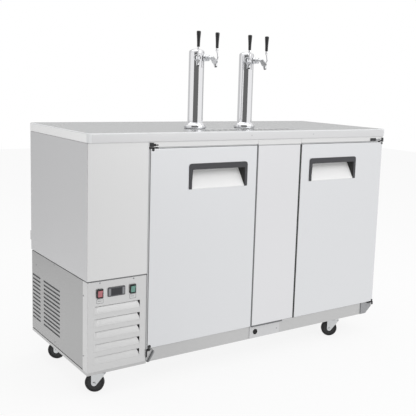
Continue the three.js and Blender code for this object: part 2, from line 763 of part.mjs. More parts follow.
// Louvred front panel: each slit has its lower lip pressed inwards
function makeGrillePanel() {
  const low = PAN_TOP;
  const high = BAY_TOP - SEAT;
  const faceBack = BAY_FACE_Y + SHEET;
  const wrap = outline([
    [BAY_RIGHT, BAY_FACE_Y],
    [BAY_RIGHT, faceBack],
    [BAY_LEFT + SHEET, faceBack, BEND_RADIUS - SHEET],
    [BAY_LEFT + SHEET, BAY_FACE_Y + PANEL_WRAP],
    [BAY_LEFT, BAY_FACE_Y + PANEL_WRAP],
    [BAY_LEFT, BAY_FACE_Y, BEND_RADIUS],
  ]);
  const sheet = prism(wrap, "z", low, high);
  const returnTop = block(
    [BAY_LEFT + SHEET / 2, BAY_FACE_Y + SHEET / 2, high - SHEET],
    [BAY_RIGHT - BEND_RADIUS, BAY_FACE_Y + PANEL_RETURN, high],
  );
  const returnSide = block(
    [BAY_RIGHT - SHEET, BAY_FACE_Y + SHEET / 2, low + BEND_RADIUS],
    [BAY_RIGHT, BAY_FACE_Y + PANEL_RETURN, high - BEND_RADIUS],
  );
  let panel = joined([sheet, returnTop, returnSide]);
  const from = LEFT + LOUVRE_FROM_LEFT;
  const to = from + LOUVRE_LENGTH;
  for (let i = 0; i < LOUVRE_COUNT; i += 1) {
    const top = LOUVRE_TOP_Z - i * LOUVRE_PITCH;
    const foot = top - LOUVRE_HEIGHT;
    panel = panel.subtract(
      block([from, BAY_FACE_Y - OVERRUN, foot], [to, BAY_FACE_Y + PANEL_RETURN, top]),
    );
    const lip = new THREE.Shape();
    lip.moveTo(BAY_FACE_Y, foot - SHEET);
    lip.lineTo(BAY_FACE_Y, foot);
    lip.quadraticCurveTo(
      BAY_FACE_Y + LOUVRE_DEPTH * 0.25,
      foot + LOUVRE_HEIGHT * 0.6,
      BAY_FACE_Y + LOUVRE_DEPTH,
      top - LOUVRE_SLIT,
    );
    lip.lineTo(BAY_FACE_Y + LOUVRE_DEPTH + SHEET, top - LOUVRE_SLIT);
    lip.quadraticCurveTo(
      BAY_FACE_Y + LOUVRE_DEPTH * 0.25 + SHEET,
      foot + LOUVRE_HEIGHT * 0.5,
      faceBack,
      foot - SHEET,
    );
    lip.closePath();
    panel = panel.add(prism(lip, "x", from, to));
  }
  const room = (x, width, height, edge) =>
    block(
      [x - width / 2 + edge - SEAT, BAY_FACE_Y - OVERRUN, CONTROLS_Z - height / 2 + edge - SEAT],
      [x + width / 2 - edge + SEAT, faceBack + OVERRUN, CONTROLS_Z + height / 2 - edge + SEAT],
    );
  panel = panel.subtract(
    room(CONTROLLER_X, CONTROLLER_WIDTH, CONTROLLER_HEIGHT, CONTROLLER_FRAME_WIDTH / 2),
  );
  for (const x of [SWITCH_LEFT_X, SWITCH_RIGHT_X]) {
    panel = panel.subtract(room(x, SWITCH_WIDTH, SWITCH_HEIGHT, SWITCH_FRAME_WIDTH / 2));
  }
  piece("grille_panel", panel, ...STEEL);
}

// Slotted cover that wraps the left side and the back of the compressor bay
function makeBayCover() {
  const low = PAN_TOP;
  const high = BAY_TOP - SEAT;
  const front = BAY_FACE_Y + PANEL_WRAP + SEAT;
  const wrap = outline([
    [BAY_LEFT, front],
    [BAY_LEFT + SHEET, front],
    [BAY_LEFT + SHEET, BACK_Y - SHEET],
    [BAY_RIGHT, BACK_Y - SHEET],
    [BAY_RIGHT, BACK_Y],
    [BAY_LEFT, BACK_Y, BEND_RADIUS],
  ]);
  let cover = prism(wrap, "z", low, high);
  const slot = (from, to, z) => stadium(from, z - SLOT_HEIGHT, to, z);
  for (let i = 0; i < SLOT_COUNT; i += 1) {
    const z = SLOT_TOP_Z - i * SLOT_PITCH;
    const rearStart = SLOT_FRONT_Y + SLOT_LENGTH + SLOT_BRIDGE;
    const columns = [
      [SLOT_FRONT_Y, SLOT_FRONT_Y + SLOT_LENGTH],
      [rearStart, rearStart + SLOT_REAR_LENGTH],
    ];
    for (const [from, to] of columns) {
      cover = cover.subtract(prism(slot(from, to, z), "x", BAY_LEFT - OVERRUN, BAY_LEFT + SHEET + OVERRUN));
    }
    const backLeft = (LEFT + BAY_RIGHT - BACK_SLOT_LENGTH) / 2;
    const backSlot = slot(backLeft, backLeft + BACK_SLOT_LENGTH, z);
    cover = cover.subtract(prism(backSlot, "y", BACK_Y - SHEET - OVERRUN, BACK_Y + OVERRUN));
  }
  const glandX = BAY_RIGHT - GLAND_DIAMETER * 2;
  const glandZ = PAN_TOP + GLAND_DIAMETER;
  const gland = prism(
    polygon(GLAND_DIAMETER / 2, ROUND_SOME, glandX, glandZ),
    "y",
    BACK_Y - SHEET * 2,
    BACK_Y + BACK_INSET / 2,
  );
  const bore = prism(
    polygon(GLAND_BORE / 2, ROUND_FEW, glandX, glandZ),
    "y",
    BACK_Y - SHEET * 2 - OVERRUN,
    BACK_Y + BACK_INSET,
  );
  piece("bay_cover", cover.add(gland).subtract(bore), 0xababab, 0.45, 0.7);
}

// Digital controller and the two rocker switches on the louvred panel
function makeControls() {
  const halfW = CONTROLLER_WIDTH / 2;
  const halfH = CONTROLLER_HEIGHT / 2;
  const face = rectangle(
    CONTROLLER_X - halfW,
    CONTROLS_Z - halfH,
    CONTROLLER_X + halfW,
    CONTROLS_Z + halfH,
    CONTROLLER_CORNER,
  );
  const bezel = prism(face, "y", BAY_FACE_Y - CONTROLLER_RISE, BAY_FACE_Y - SEAT, CONTROLLER_RISE / 4);
  const step = CONTROLLER_FRAME_WIDTH;
  const can = block(
    [CONTROLLER_X - halfW + step, BAY_FACE_Y - CONTROLLER_RISE / 2, CONTROLS_Z - halfH + step],
    [CONTROLLER_X + halfW - step, BAY_FACE_Y + CONTROLLER_DEPTH, CONTROLS_Z + halfH - step],
  );
  const windowCut = block(
    [CONTROLLER_X - halfW + 3 * step, BAY_FACE_Y - CONTROLLER_RISE - OVERRUN, CONTROLS_Z - halfH + step],
    [CONTROLLER_X + halfW - 3 * step, BAY_FACE_Y - CONTROLLER_RISE + WINDOW_RECESS, CONTROLS_Z + halfH - step],
  );
  piece("controller", bezel.add(can).subtract(windowCut), 0x5a5b5e, 0.45, 0);

  const rockers = [
    ["power", SWITCH_LEFT_X, 0xc9636a],
    ["light", SWITCH_RIGHT_X, 0x5e9b88],
  ];
  for (const [name, x, colour] of rockers) {
    const halfWidth = SWITCH_WIDTH / 2;
    const halfHeight = SWITCH_HEIGHT / 2;
    const frame = SWITCH_FRAME_WIDTH;
    const rim = prism(
      rectangle(
        x - halfWidth,
        CONTROLS_Z - halfHeight,
        x + halfWidth,
        CONTROLS_Z + halfHeight,
        frame / 2,
      ),
      "y",
      BAY_FACE_Y - SWITCH_RISE,
      BAY_FACE_Y - SEAT,
      SWITCH_RISE / 4,
    );
    const box = block(
      [x - halfWidth + frame / 2, BAY_FACE_Y - SWITCH_RISE / 2, CONTROLS_Z - halfHeight + frame / 2],
      [x + halfWidth - frame / 2, BAY_FACE_Y + SWITCH_DEPTH, CONTROLS_Z + halfHeight - frame / 2],
    );
    const well = block(
      [x - halfWidth + frame, BAY_FACE_Y - SWITCH_RISE - OVERRUN, CONTROLS_Z - halfHeight + frame],
      [x + halfWidth - frame, BAY_FACE_Y + SWITCH_DEPTH - frame, CONTROLS_Z + halfHeight - frame],
    );
    piece(name + "_switch_body", rim.add(box).subtract(well), ...BLACK_PLASTIC);

    const reach = halfHeight - frame - ROCKER_RISE / 2;
    const wing = new THREE.Shape();
    wing.moveTo(-ROCKER_RISE, reach);
    wing.quadraticCurveTo(0, 0, -ROCKER_RISE, -reach);
    wing.lineTo(ROCKER_ROOT / 2, -reach * 0.9);
    wing.lineTo(ROCKER_ROOT, 0);
    wing.lineTo(ROCKER_ROOT / 2, reach * 0.9);
    wing.closePath();
    const rocker = prism(wing, "x", -halfWidth + frame + SEAT, halfWidth - frame - SEAT);
    const seat = piece(name + "_rocker", rocker, colour, 0.35, 0);
    seat.position.set(x, BAY_FACE_Y - SWITCH_RISE / 2, CONTROLS_Z);
    seat.rotation.x = ROCKER_TILT * DEGREE;
  }
}

// Hermetic compressor on a foot plate with four rubber grommets
function makeCompressor() {
  const radius = COMPRESSOR_DIAMETER / 2;
  const seamZ = COMPRESSOR_HEIGHT * 0.55;
  const plateZ = COMPRESSOR_GROMMET;
  const profile = [
    [0, plateZ],
    [radius * 0.72, plateZ],
    [radius * 0.9, plateZ + radius * 0.18],
    [radius * 0.96, seamZ - COMPRESSOR_SEAM],
    [radius, seamZ - COMPRESSOR_SEAM],
    [radius, seamZ],
    [radius * 0.95, seamZ],
    [radius * 0.92, COMPRESSOR_HEIGHT * 0.78],
    [radius * 0.7, COMPRESSOR_HEIGHT * 0.93],
    [radius * 0.3, COMPRESSOR_HEIGHT],
    [0, COMPRESSOR_HEIGHT],
  ];
  const can = turned(profile, ROUND_MANY);
  const half = COMPRESSOR_FOOT_SPAN / 2;
  const waist = radius * 0.75;
  const arm = GROMMET_DIAMETER;
  const feet = outline([
    [-half, -half],
    [-half + arm, -half],
    [0, -waist],
    [half - arm, -half],
    [half, -half],
    [half, -half + arm],
    [waist, 0],
    [half, half - arm],
    [half, half],
    [half - arm, half],
    [0, waist],
    [-half + arm, half],
    [-half, half],
    [-half, half - arm],
    [-waist, 0],
    [-half, -half + arm],
  ]);
  const parts = [can, prism(feet, "z", plateZ, plateZ + COMPRESSOR_FOOT_SHEET)];
  for (const sideX of [-1, 1]) {
    for (const sideY of [-1, 1]) {
      const place = half - GROMMET_DIAMETER * 0.75;
      parts.push(
        bar(
          GROMMET_DIAMETER / 2,
          0,
          plateZ + COMPRESSOR_FOOT_SHEET * 2,
          ROUND_FEW,
          sideX * place,
          sideY * place,
        ),
      );
    }
  }
  const boxZ = plateZ + TERMINAL_HEIGHT / 2;
  parts.push(
    block(
      [-TERMINAL_WIDTH / 2, -radius - TERMINAL_DEPTH / 2, boxZ],
      [TERMINAL_WIDTH / 2, -radius * 0.7, boxZ + TERMINAL_HEIGHT],
    ),
  );
  const compressor = piece("compressor", joined(parts), 0x26272a, 0.4, 0.3);
  compressor.position.set(COMPRESSOR_X, COMPRESSOR_Y, CASTER_HEIGHT + SHEET + SEAT);
}

// A finned coil: a comb of fins on both faces of a core along X, with hairpin bends at its ends
function finnedCoil(width, depth, height) {
  const finCount = Math.floor(width / COIL_FIN_PITCH);
  const side = ((finCount - 1) * COIL_FIN_PITCH + COIL_FIN) / 2;
  const front = [];
  for (let i = 0; i < finCount; i += 1) {
    const x = i * COIL_FIN_PITCH - side;
    front.push([x, -COIL_CORE / 2], [x, -depth / 2], [x + COIL_FIN, -depth / 2]);
    front.push([x + COIL_FIN, -COIL_CORE / 2]);
  }
  const comb = outline([...front.slice(1, -1), ...front.slice(1, -1).map(([x, y]) => [-x, -y])]);
  const parts = [prism(comb, "z", 0, height)];
  const rise = height / COIL_ROWS;
  for (let i = 0; i + 1 < COIL_ROWS; i += 1) {
    const z = rise * (i + 0.5);
    const sign = i % 2 === 0 ? 1 : -1;
    const root = sign * (side - COIL_FIN / 2);
    const out = sign * (side + COIL_TUBE * 1.3);
    parts.push(
      rod(
        [
          [root, 0, z],
          [(root + out) / 2, 0, z + rise * 0.08],
          [out, 0, z + rise / 2],
          [(root + out) / 2, 0, z + rise * 0.92],
          [root, 0, z + rise],
        ],
        COIL_TUBE / 2,
        PIPE_SIDES,
        6,
      ),
    );
  }
  return joined(parts);
}

// Condenser behind the louvres, with the discharge pipe from the compressor brazed on
function makeCondenser() {
  const centreX = (LEFT + BAY_RIGHT) / 2;
  const coilY = FACE_Y + LOUVRE_DEPTH + COIL_GAP + COIL_DEPTH / 2;
  const coilZ = CASTER_HEIGHT + SHEET + SEAT;
  const coil = shifted(finnedCoil(COIL_WIDTH, COIL_DEPTH, COIL_HEIGHT), centreX, coilY, coilZ);
  const endX = centreX - COIL_WIDTH / 2;
  const topZ = coilZ + COIL_HEIGHT * (1 - 0.5 / COIL_ROWS);
  const domeX = COMPRESSOR_X - COMPRESSOR_DIAMETER * 0.2;
  const domeTop = coilZ + COMPRESSOR_HEIGHT;
  const discharge = rod(
    [
      [endX + COIL_FIN_PITCH, coilY, topZ],
      [endX - COIL_TUBE, coilY, topZ + COIL_TUBE / 2],
      [endX, coilY + COIL_TUBE, coilZ + COIL_HEIGHT + COIL_TUBE * 2],
      [endX + COIL_TUBE, COMPRESSOR_Y - COMPRESSOR_DIAMETER * 0.7, coilZ + COIL_HEIGHT + COIL_TUBE * 3],
      [domeX, COMPRESSOR_Y - COIL_TUBE * 2, domeTop + COIL_TUBE * 5],
      [domeX, COMPRESSOR_Y, domeTop + COIL_TUBE * 3],
      [domeX, COMPRESSOR_Y, domeTop + SEAT],
    ],
    PIPE_DIAMETER / 2,
    PIPE_SIDES,
    18,
  );
  piece("condenser_coil", coil.add(discharge), ...COPPER);

  const shroudFront = coilY + COIL_DEPTH / 2 + SHROUD_GAP;
  const shroudBack = shroudFront + SHROUD_DEPTH;
  const halfWidth = COIL_WIDTH / 2 + SHEET;
  const fanZ = coilZ + COIL_HEIGHT / 2;
  const outer = rectangle(-halfWidth, 0, halfWidth, COIL_HEIGHT, BEND_RADIUS);
  let shroud = shifted(prism(outer, "y", shroudFront, shroudBack), centreX, 0, coilZ);
  const hollow = block(
    [centreX - halfWidth + SHEET, shroudFront - OVERRUN, coilZ + SHEET],
    [centreX + halfWidth - SHEET, shroudBack - SHEET, coilZ + COIL_HEIGHT - SHEET],
  );
  const mouth = prism(
    polygon(FAN_DIAMETER / 2 + FAN_TIP_GAP, ROUND_MANY, centreX, fanZ),
    "y",
    shroudBack - SHEET - OVERRUN,
    shroudBack + OVERRUN,
  );
  shroud = shroud.subtract(hollow).subtract(mouth);
  const motorFront = shroudBack + FAN_HUB_LENGTH;
  const armReach = FAN_DIAMETER / 2 + FAN_TIP_GAP + MOTOR_ARM;
  const arms = [-1, 1].flatMap((side) => [
    block(
      [centreX - MOTOR_ARM / 2, shroudBack - SHEET, fanZ + side * armReach - MOTOR_ARM / 4],
      [
        centreX + MOTOR_ARM / 2,
        motorFront + MOTOR_ARM,
        fanZ + side * armReach + MOTOR_ARM / 4,
      ],
    ),
    block(
      [centreX - MOTOR_ARM / 2, motorFront + MOTOR_ARM / 2, fanZ + Math.min(0, side * armReach)],
      [centreX + MOTOR_ARM / 2, motorFront + MOTOR_ARM, fanZ + Math.max(0, side * armReach)],
    ),
  ]);
  const motor = prism(
    polygon(MOTOR_DIAMETER / 2, ROUND_SOME, centreX, fanZ),
    "y",
    motorFront,
    motorFront + MOTOR_LENGTH,
    BEND_RADIUS,
  );
  const shaft = prism(
    polygon(MOTOR_SHAFT_DIAMETER / 2, ROUND_FEW, centreX, fanZ),
    "y",
    motorFront - FAN_HUB_LENGTH,
    motorFront + OVERRUN,
  );
  piece("condenser_fan_shroud", joined([shroud, ...arms, motor, shaft]), 0x33363a, 0.5, 0.4);

  const fan = piece("condenser_fan", makeFan(), 0x9fa3a8, 0.5, 0.6);
  fan.position.set(centreX, motorFront - SEAT - FAN_HUB_LENGTH / 2, fanZ);
  fan.rotation.x = Math.PI / 2;
}

// Axial fan about Z with pitched blades, bored for its motor shaft
function makeFan() {
  const hub = bar(FAN_HUB_DIAMETER / 2, -FAN_HUB_LENGTH / 2, FAN_HUB_LENGTH / 2, ROUND_SOME);
  const tip = FAN_DIAMETER / 2;
  const root = FAN_HUB_DIAMETER * 0.4;
  const blade = outline([
    [root, -root * 0.5],
    [tip * 0.8, -tip * 0.3, tip * 0.1],
    [tip * 0.96, 0, tip * 0.15],
    [tip * 0.9, tip * 0.28, tip * 0.1],
    [root, root * 0.6],
  ]);
  const flat = prism(blade, "z", -FAN_BLADE / 2, FAN_BLADE / 2);
  const pitched = turnedAbout(flat, X, FAN_PITCH);
  const blades = [];
  for (let i = 0; i < FAN_BLADE_COUNT; i += 1) {
    blades.push(turnedAbout(pitched, Z, (i * 360) / FAN_BLADE_COUNT));
  }
  const boreRadius = turningBore(MOTOR_SHAFT_DIAMETER / 2, ROUND_FEW);
  const bore = bar(boreRadius, -FAN_HUB_LENGTH, FAN_HUB_LENGTH, ROUND_FEW);
  return joined([hub, ...blades]).subtract(bore);
}

// Evaporator coil with its suction pipe, the cover across the alcove, and the air fan
function makeEvaporator() {
  const coverX = BAY_IN_LEFT - SEAT - LINER;
  const coilX = coverX - EVAPORATOR_FROM_COVER - EVAPORATOR_WIDTH / 2;
  const coilY = (FRAME_Y + BAY_IN_BACK) / 2;
  const coilZ = ALCOVE_FLOOR + SEAT + LINER + SEAT;
  const block0 = finnedCoil(EVAPORATOR_DEPTH, EVAPORATOR_WIDTH, EVAPORATOR_HEIGHT);
  const coil = shifted(turnedAbout(block0, Z, 90), coilX, coilY, coilZ);
  const tubeZ = coilZ + EVAPORATOR_HEIGHT * (0.5 / COIL_ROWS);
  const coilEnd = coilY + EVAPORATOR_DEPTH / 2;
  const stubTop = CASTER_HEIGHT + SHEET + SEAT + COMPRESSOR_HEIGHT * 0.8;
  const canSide = COMPRESSOR_X - COMPRESSOR_DIAMETER / 2;
  const suction = rod(
    [
      [coilX, coilEnd - COIL_FIN_PITCH, tubeZ],
      [coilX, coilEnd + COIL_TUBE * 1.4, tubeZ + COIL_TUBE * 0.4],
      [(coilX + SUCTION_X) / 2, coilEnd + COIL_TUBE * 2, tubeZ + COIL_TUBE],
      [SUCTION_X, SUCTION_Y, tubeZ - COIL_TUBE],
      [SUCTION_X, SUCTION_Y, ALCOVE_FLOOR - WALL / 2],
      [SUCTION_X, SUCTION_Y, BAY_TOP - WALL / 2],
      [canSide - COIL_TUBE, COMPRESSOR_Y + COIL_TUBE * 2, stubTop + COIL_TUBE * 4],
      [canSide - COIL_TUBE, COMPRESSOR_Y, stubTop],
      [canSide - SEAT, COMPRESSOR_Y, stubTop - COIL_TUBE],
    ],
    PIPE_DIAMETER / 2,
    PIPE_SIDES,
    24,
  );
  piece("evaporator_coil", coil.add(suction), ...COPPER);

  const low = ALCOVE_FLOOR + SEAT + LINER + SEAT;
  const high = BAY_IN_TOP - SEAT - LINER - SEAT;
  const front = FRAME_Y + SEAT + LINER + SEAT;
  const back = BAY_IN_BACK - SEAT - LINER - SEAT;
  const fanZ = high - COVER_FAN_RISE;
  const fanY = (front + back) / 2;
  let cover = block([coverX - SHEET, front, low], [coverX, back, high]);
  const rim = block([coverX - COVER_RETURN, front, low], [coverX - SHEET / 2, back, high]).subtract(
    block(
      [coverX - COVER_RETURN - OVERRUN, front + SHEET, low + SHEET],
      [coverX + OVERRUN, back - SHEET, high - SHEET],
    ),
  );
  cover = cover.add(rim);
  const mouthRadius = FAN_DIAMETER / 2 + FAN_TIP_GAP;
  cover = cover.subtract(
    prism(polygon(mouthRadius, ROUND_MANY, fanY, fanZ), "x", coverX - SHEET - OVERRUN, coverX + OVERRUN),
  );
  for (let i = 0; i < COVER_SLOT_COUNT; i += 1) {
    const z = low + COVER_SLOT_RISE + i * COVER_SLOT_PITCH;
    cover = cover.subtract(
      block(
        [coverX - SHEET - OVERRUN, fanY - COVER_SLOT_LENGTH / 2, z],
        [coverX + OVERRUN, fanY + COVER_SLOT_LENGTH / 2, z + COVER_SLOT_HEIGHT],
      ),
    );
  }
  const guard = [];
  for (let i = 1; i <= GUARD_RINGS; i += 1) {
    const radius = (mouthRadius * i) / (GUARD_RINGS + 0.4);
    const ring = polygon(radius + GUARD_WIRE / 2, ROUND_SOME, fanY, fanZ);
    ring.holes.push(polygon(radius - GUARD_WIRE / 2, ROUND_SOME, fanY, fanZ));
    guard.push(prism(ring, "x", coverX - SHEET, coverX));
  }
  for (const angle of [45, 135]) {
    const across = block(
      [coverX - SHEET, -mouthRadius - GUARD_WIRE, -GUARD_WIRE / 2],
      [coverX, mouthRadius + GUARD_WIRE, GUARD_WIRE / 2],
    );
    guard.push(shifted(turnedAbout(across, X, angle), 0, fanY, fanZ));
  }
  const motorFront = coverX - COVER_RETURN - FAN_HUB_LENGTH;
  const armReach = mouthRadius + MOTOR_ARM;
  const arms = [-1, 1].flatMap((side) => [
    block(
      [motorFront - MOTOR_ARM, fanY + side * armReach - MOTOR_ARM / 4, fanZ - MOTOR_ARM / 2],
      [coverX - SHEET / 2, fanY + side * armReach + MOTOR_ARM / 4, fanZ + MOTOR_ARM / 2],
    ),
    block(
      [motorFront - MOTOR_ARM, fanY + Math.min(0, side * armReach), fanZ - MOTOR_ARM / 2],
      [motorFront - MOTOR_ARM / 2, fanY + Math.max(0, side * armReach), fanZ + MOTOR_ARM / 2],
    ),
  ]);
  const motor = prism(
    polygon(MOTOR_DIAMETER / 2, ROUND_SOME, fanY, fanZ),
    "x",
    motorFront - MOTOR_LENGTH,
    motorFront,
    BEND_RADIUS,
  );
  const shaft = prism(
    polygon(MOTOR_SHAFT_DIAMETER / 2, ROUND_FEW, fanY, fanZ),
    "x",
    motorFront - OVERRUN,
    motorFront + FAN_HUB_LENGTH,
  );
  piece("evaporator_cover", joined([cover, ...guard, ...arms, motor, shaft]), 0xd4d5d6, 0.5, 0.2);

  const fan = piece("evaporator_fan", makeFan(), 0x9fa3a8, 0.5, 0.6);
  fan.position.set(motorFront + SEAT + FAN_HUB_LENGTH / 2, fanY, fanZ);
  fan.rotation.y = Math.PI / 2;
}

// A door: foamed leaf with its hinge notches and handle pocket, gasket, handle tub and pull plate
function makeDoor(name, left, right, hingeX, opening, handleLeft) {
  const leafShape = rectangle(left, DOOR_BOTTOM, right, DOOR_TOP);
  let leaf = prism(leafShape, "y", FACE_Y, DOOR_BACK_Y, DOOR_RIM, 2);
  const clear = INNER_PANEL_CLEARANCE + GASKET_OFFSET;
  const inner = rectangle(
    opening[0] + clear,
    BAY_IN_FLOOR + clear,
    opening[1] - clear,
    BAY_IN_TOP - clear,
  );
  const panelEdge = INNER_PANEL_RISE / 2;
  leaf = leaf.add(
    prism(inner, "y", DOOR_BACK_Y - INNER_PANEL_RISE, DOOR_BACK_Y + INNER_PANEL_RISE, panelEdge),
  );
  const pinY = FACE_Y + HINGE_PIN_INSET;
  const pinHole = turningBore(HINGE_PIN_DIAMETER / 2, ROUND_FEW);
  const reach = HINGE_PIN_REACH + SEAT;
  for (const [from, to] of [
    [DOOR_BOTTOM - OVERRUN, DOOR_BOTTOM + reach],
    [DOOR_TOP - reach, DOOR_TOP + OVERRUN],
  ]) {
    leaf = leaf.subtract(bar(pinHole, from, to, ROUND_FEW, hingeX, pinY));
  }
  const handleTop = DOOR_TOP - HANDLE_TOP_BELOW_DOOR;
  const handleLow = handleTop - HANDLE_HEIGHT;
  const handleRight = handleLeft + HANDLE_WIDTH;
  const tubLeft = handleLeft + HANDLE_LAP;
  const tubRight = handleRight - HANDLE_LAP;
  const tubTop = handleTop - HANDLE_LAP;
  leaf = leaf.subtract(
    block(
      [tubLeft - SEAT, FACE_Y - OVERRUN, handleLow - SEAT],
      [tubRight + SEAT, FACE_Y + HANDLE_REACH + SEAT, tubTop + SEAT],
    ),
  );
  piece(name + "_leaf", leaf, ...STEEL);

  const seal = (grow, from, to) =>
    block(
      [opening[0] - grow, from, BAY_IN_FLOOR - grow],
      [opening[1] + grow, to, BAY_IN_TOP + grow],
    );
  const gasket = seal(GASKET_OFFSET + GASKET_WIDTH, DOOR_BACK_Y + SEAT, FRAME_Y - SEAT).subtract(
    seal(GASKET_OFFSET, DOOR_BACK_Y - OVERRUN, FRAME_Y + OVERRUN),
  );
  piece(name + "_gasket", gasket, 0x6f7073, 0.8, 0);

  const trim = prism(
    outline([
      [handleLeft, handleLow, HANDLE_TRIM],
      [handleRight, handleLow, HANDLE_TRIM],
      [handleRight, handleTop, HANDLE_CORNER],
      [handleLeft, handleTop, HANDLE_CORNER],
    ]),
    "y",
    FACE_Y - HANDLE_TRIM,
    FACE_Y - SEAT,
  );
  const tub = block(
    [tubLeft, FACE_Y - HANDLE_TRIM / 2, handleLow],
    [tubRight, FACE_Y + HANDLE_REACH, tubTop],
  );
  const floorZ = handleLow + HANDLE_WALL;
  const mouthLeft = handleLeft + HANDLE_SIDE;
  const mouthRight = handleRight - HANDLE_SIDE;
  const lipBack = FACE_Y + PLATE_LIP + SEAT;
  const room = block(
    [tubLeft + HANDLE_WALL, FACE_Y + HANDLE_LIP, floorZ],
    [tubRight - HANDLE_WALL, FACE_Y + HANDLE_REACH - HANDLE_WALL, tubTop - HANDLE_WALL],
  );
  const mouth = block(
    [mouthLeft, FACE_Y - HANDLE_TRIM - OVERRUN, floorZ],
    [mouthRight, FACE_Y + HANDLE_LIP + OVERRUN, handleTop - HANDLE_BAR],
  );
  const lipRoom = block(
    [mouthLeft, FACE_Y - HANDLE_TRIM - OVERRUN, handleLow - OVERRUN],
    [mouthRight, lipBack, floorZ + OVERRUN],
  );
  const tubBody = trim.add(tub).subtract(room).subtract(mouth).subtract(lipRoom);
  piece(name + "_handle_tub", tubBody, 0x37363a, 0.5, 0);

  const backY = FACE_Y + HANDLE_REACH - HANDLE_WALL - SEAT;
  const plateTop = handleTop - HANDLE_BAR - HANDLE_LAP / 2;
  const plateHigh = tubTop - HANDLE_WALL - SEAT;
  const bulge = HANDLE_REACH * 0.45;
  const plate = new THREE.Shape();
  plate.moveTo(FACE_Y, handleLow);
  plate.lineTo(FACE_Y, floorZ + SEAT);
  plate.quadraticCurveTo(
    FACE_Y + bulge,
    floorZ + HANDLE_HEIGHT * 0.32,
    backY - SHEET,
    plateTop,
  );
  plate.lineTo(backY - SHEET, plateHigh);
  plate.lineTo(backY, plateHigh);
  plate.lineTo(backY, plateTop);
  plate.quadraticCurveTo(
    FACE_Y + bulge + SHEET * 2,
    floorZ + HANDLE_HEIGHT * 0.28,
    FACE_Y + PLATE_LIP * 2,
    floorZ + SEAT,
  );
  plate.lineTo(FACE_Y + PLATE_LIP, floorZ + SEAT);
  plate.lineTo(FACE_Y + PLATE_LIP, handleLow);
  plate.closePath();
  piece(
    name + "_pull_plate",
    prism(plate, "x", mouthLeft + SEAT, mouthRight - SEAT),
    0xececec,
    0.3,
    0.9,
  );
}

// Upper hinge: an angle on the header with its pin down; lower hinge: a gusset on the rail, pin up.
// Beside the compressor bay the gusset is short and has its foot at the door's edge.
function makeHinges(name, edgeX, inwards, isBesideBay) {
  const pinX = edgeX + inwards * HINGE_PIN_INSET;
  const pinY = FACE_Y + HINGE_PIN_INSET;
  const end = edgeX + inwards * (isBesideBay ? SHORT_HINGE_LENGTH : LOWER_HINGE_LENGTH);
  const tabEnd = [edgeX, edgeX + inwards * HINGE_TAB_LENGTH].sort((a, b) => a - b);
  const pinRadius = HINGE_PIN_DIAMETER / 2;

  const tabLow = DOOR_TOP + (DOOR_TOP_GAP - HINGE_PLATE) / 2;
  const tabHigh = tabLow + HINGE_PLATE;
  const frontY = FACE_Y - HINGE_PLATE;
  const head = outline([
    [edgeX, tabLow],
    [edgeX + inwards * HINGE_TAB_LENGTH, tabLow],
    [edgeX + inwards * HINGE_TAB_LENGTH, tabHigh],
    [edgeX + inwards * UPPER_HINGE_HEAD, HEADER_Z + UPPER_HINGE_RISE / 2],
    [edgeX + inwards * UPPER_HINGE_HEAD, HEADER_Z + UPPER_HINGE_RISE],
    [edgeX, HEADER_Z + UPPER_HINGE_RISE],
  ]);
  const upper = joined([
    prism(head, "y", frontY, FACE_Y - SEAT),
    block([tabEnd[0], frontY, tabLow], [tabEnd[1], frontY + HINGE_TAB_DEPTH, tabHigh]),
    bar(pinRadius, DOOR_TOP - HINGE_PIN_REACH, tabLow + SEAT, ROUND_FEW, pinX, pinY),
    bar(HINGE_COLLAR / 2, tabLow - HINGE_COLLAR_HEIGHT, tabLow + SEAT, ROUND_SOME, pinX, pinY),
  ]);
  piece(name + "_upper_hinge", upper, 0x3a3a3a, 0.5, 0.4);

  const plateFront = RAIL_Y - HINGE_PLATE;
  const plateBack = RAIL_Y - SEAT;
  const shelfHigh = DOOR_BOTTOM - (DOOR_BOTTOM_GAP - HINGE_PLATE) / 2;
  const shelfLow = shelfHigh - HINGE_PLATE;
  const reachX = edgeX + inwards * RAIL_END_INSET;
  const longPlate = [
    [end, CASTER_HEIGHT, HINGE_PLATE],
    [end, shelfHigh, HINGE_PLATE],
    [edgeX, shelfHigh],
    [edgeX, shelfLow - LOWER_HINGE_FOOT / 4],
    [reachX + inwards * HINGE_PLATE, CASTER_HEIGHT + HINGE_FLANGE],
    [reachX + inwards * HINGE_FLANGE, CASTER_HEIGHT],
  ];
  const shortPlate = [
    [edgeX, CASTER_HEIGHT, HINGE_PLATE],
    [edgeX, shelfHigh],
    [end, shelfHigh],
    [end, shelfLow - LOWER_HINGE_FOOT / 4],
    [edgeX + inwards * HINGE_PIN_INSET, CASTER_HEIGHT, HINGE_PLATE],
  ];
  const plate = outline(isBesideBay ? shortPlate : longPlate);
  const lower = joined([
    prism(plate, "y", plateFront, plateBack),
    block([tabEnd[0], frontY, shelfLow], [tabEnd[1], plateBack, shelfHigh]),
    bar(pinRadius, shelfLow + SEAT, DOOR_BOTTOM + HINGE_PIN_REACH, ROUND_FEW, pinX, pinY),
    bar(HINGE_COLLAR / 2, shelfLow + SEAT, shelfHigh + HINGE_COLLAR_HEIGHT, ROUND_SOME, pinX, pinY),
  ]);
  piece(name + "_lower_hinge", lower, 0x8f8f8f, 0.5, 0.7);
}

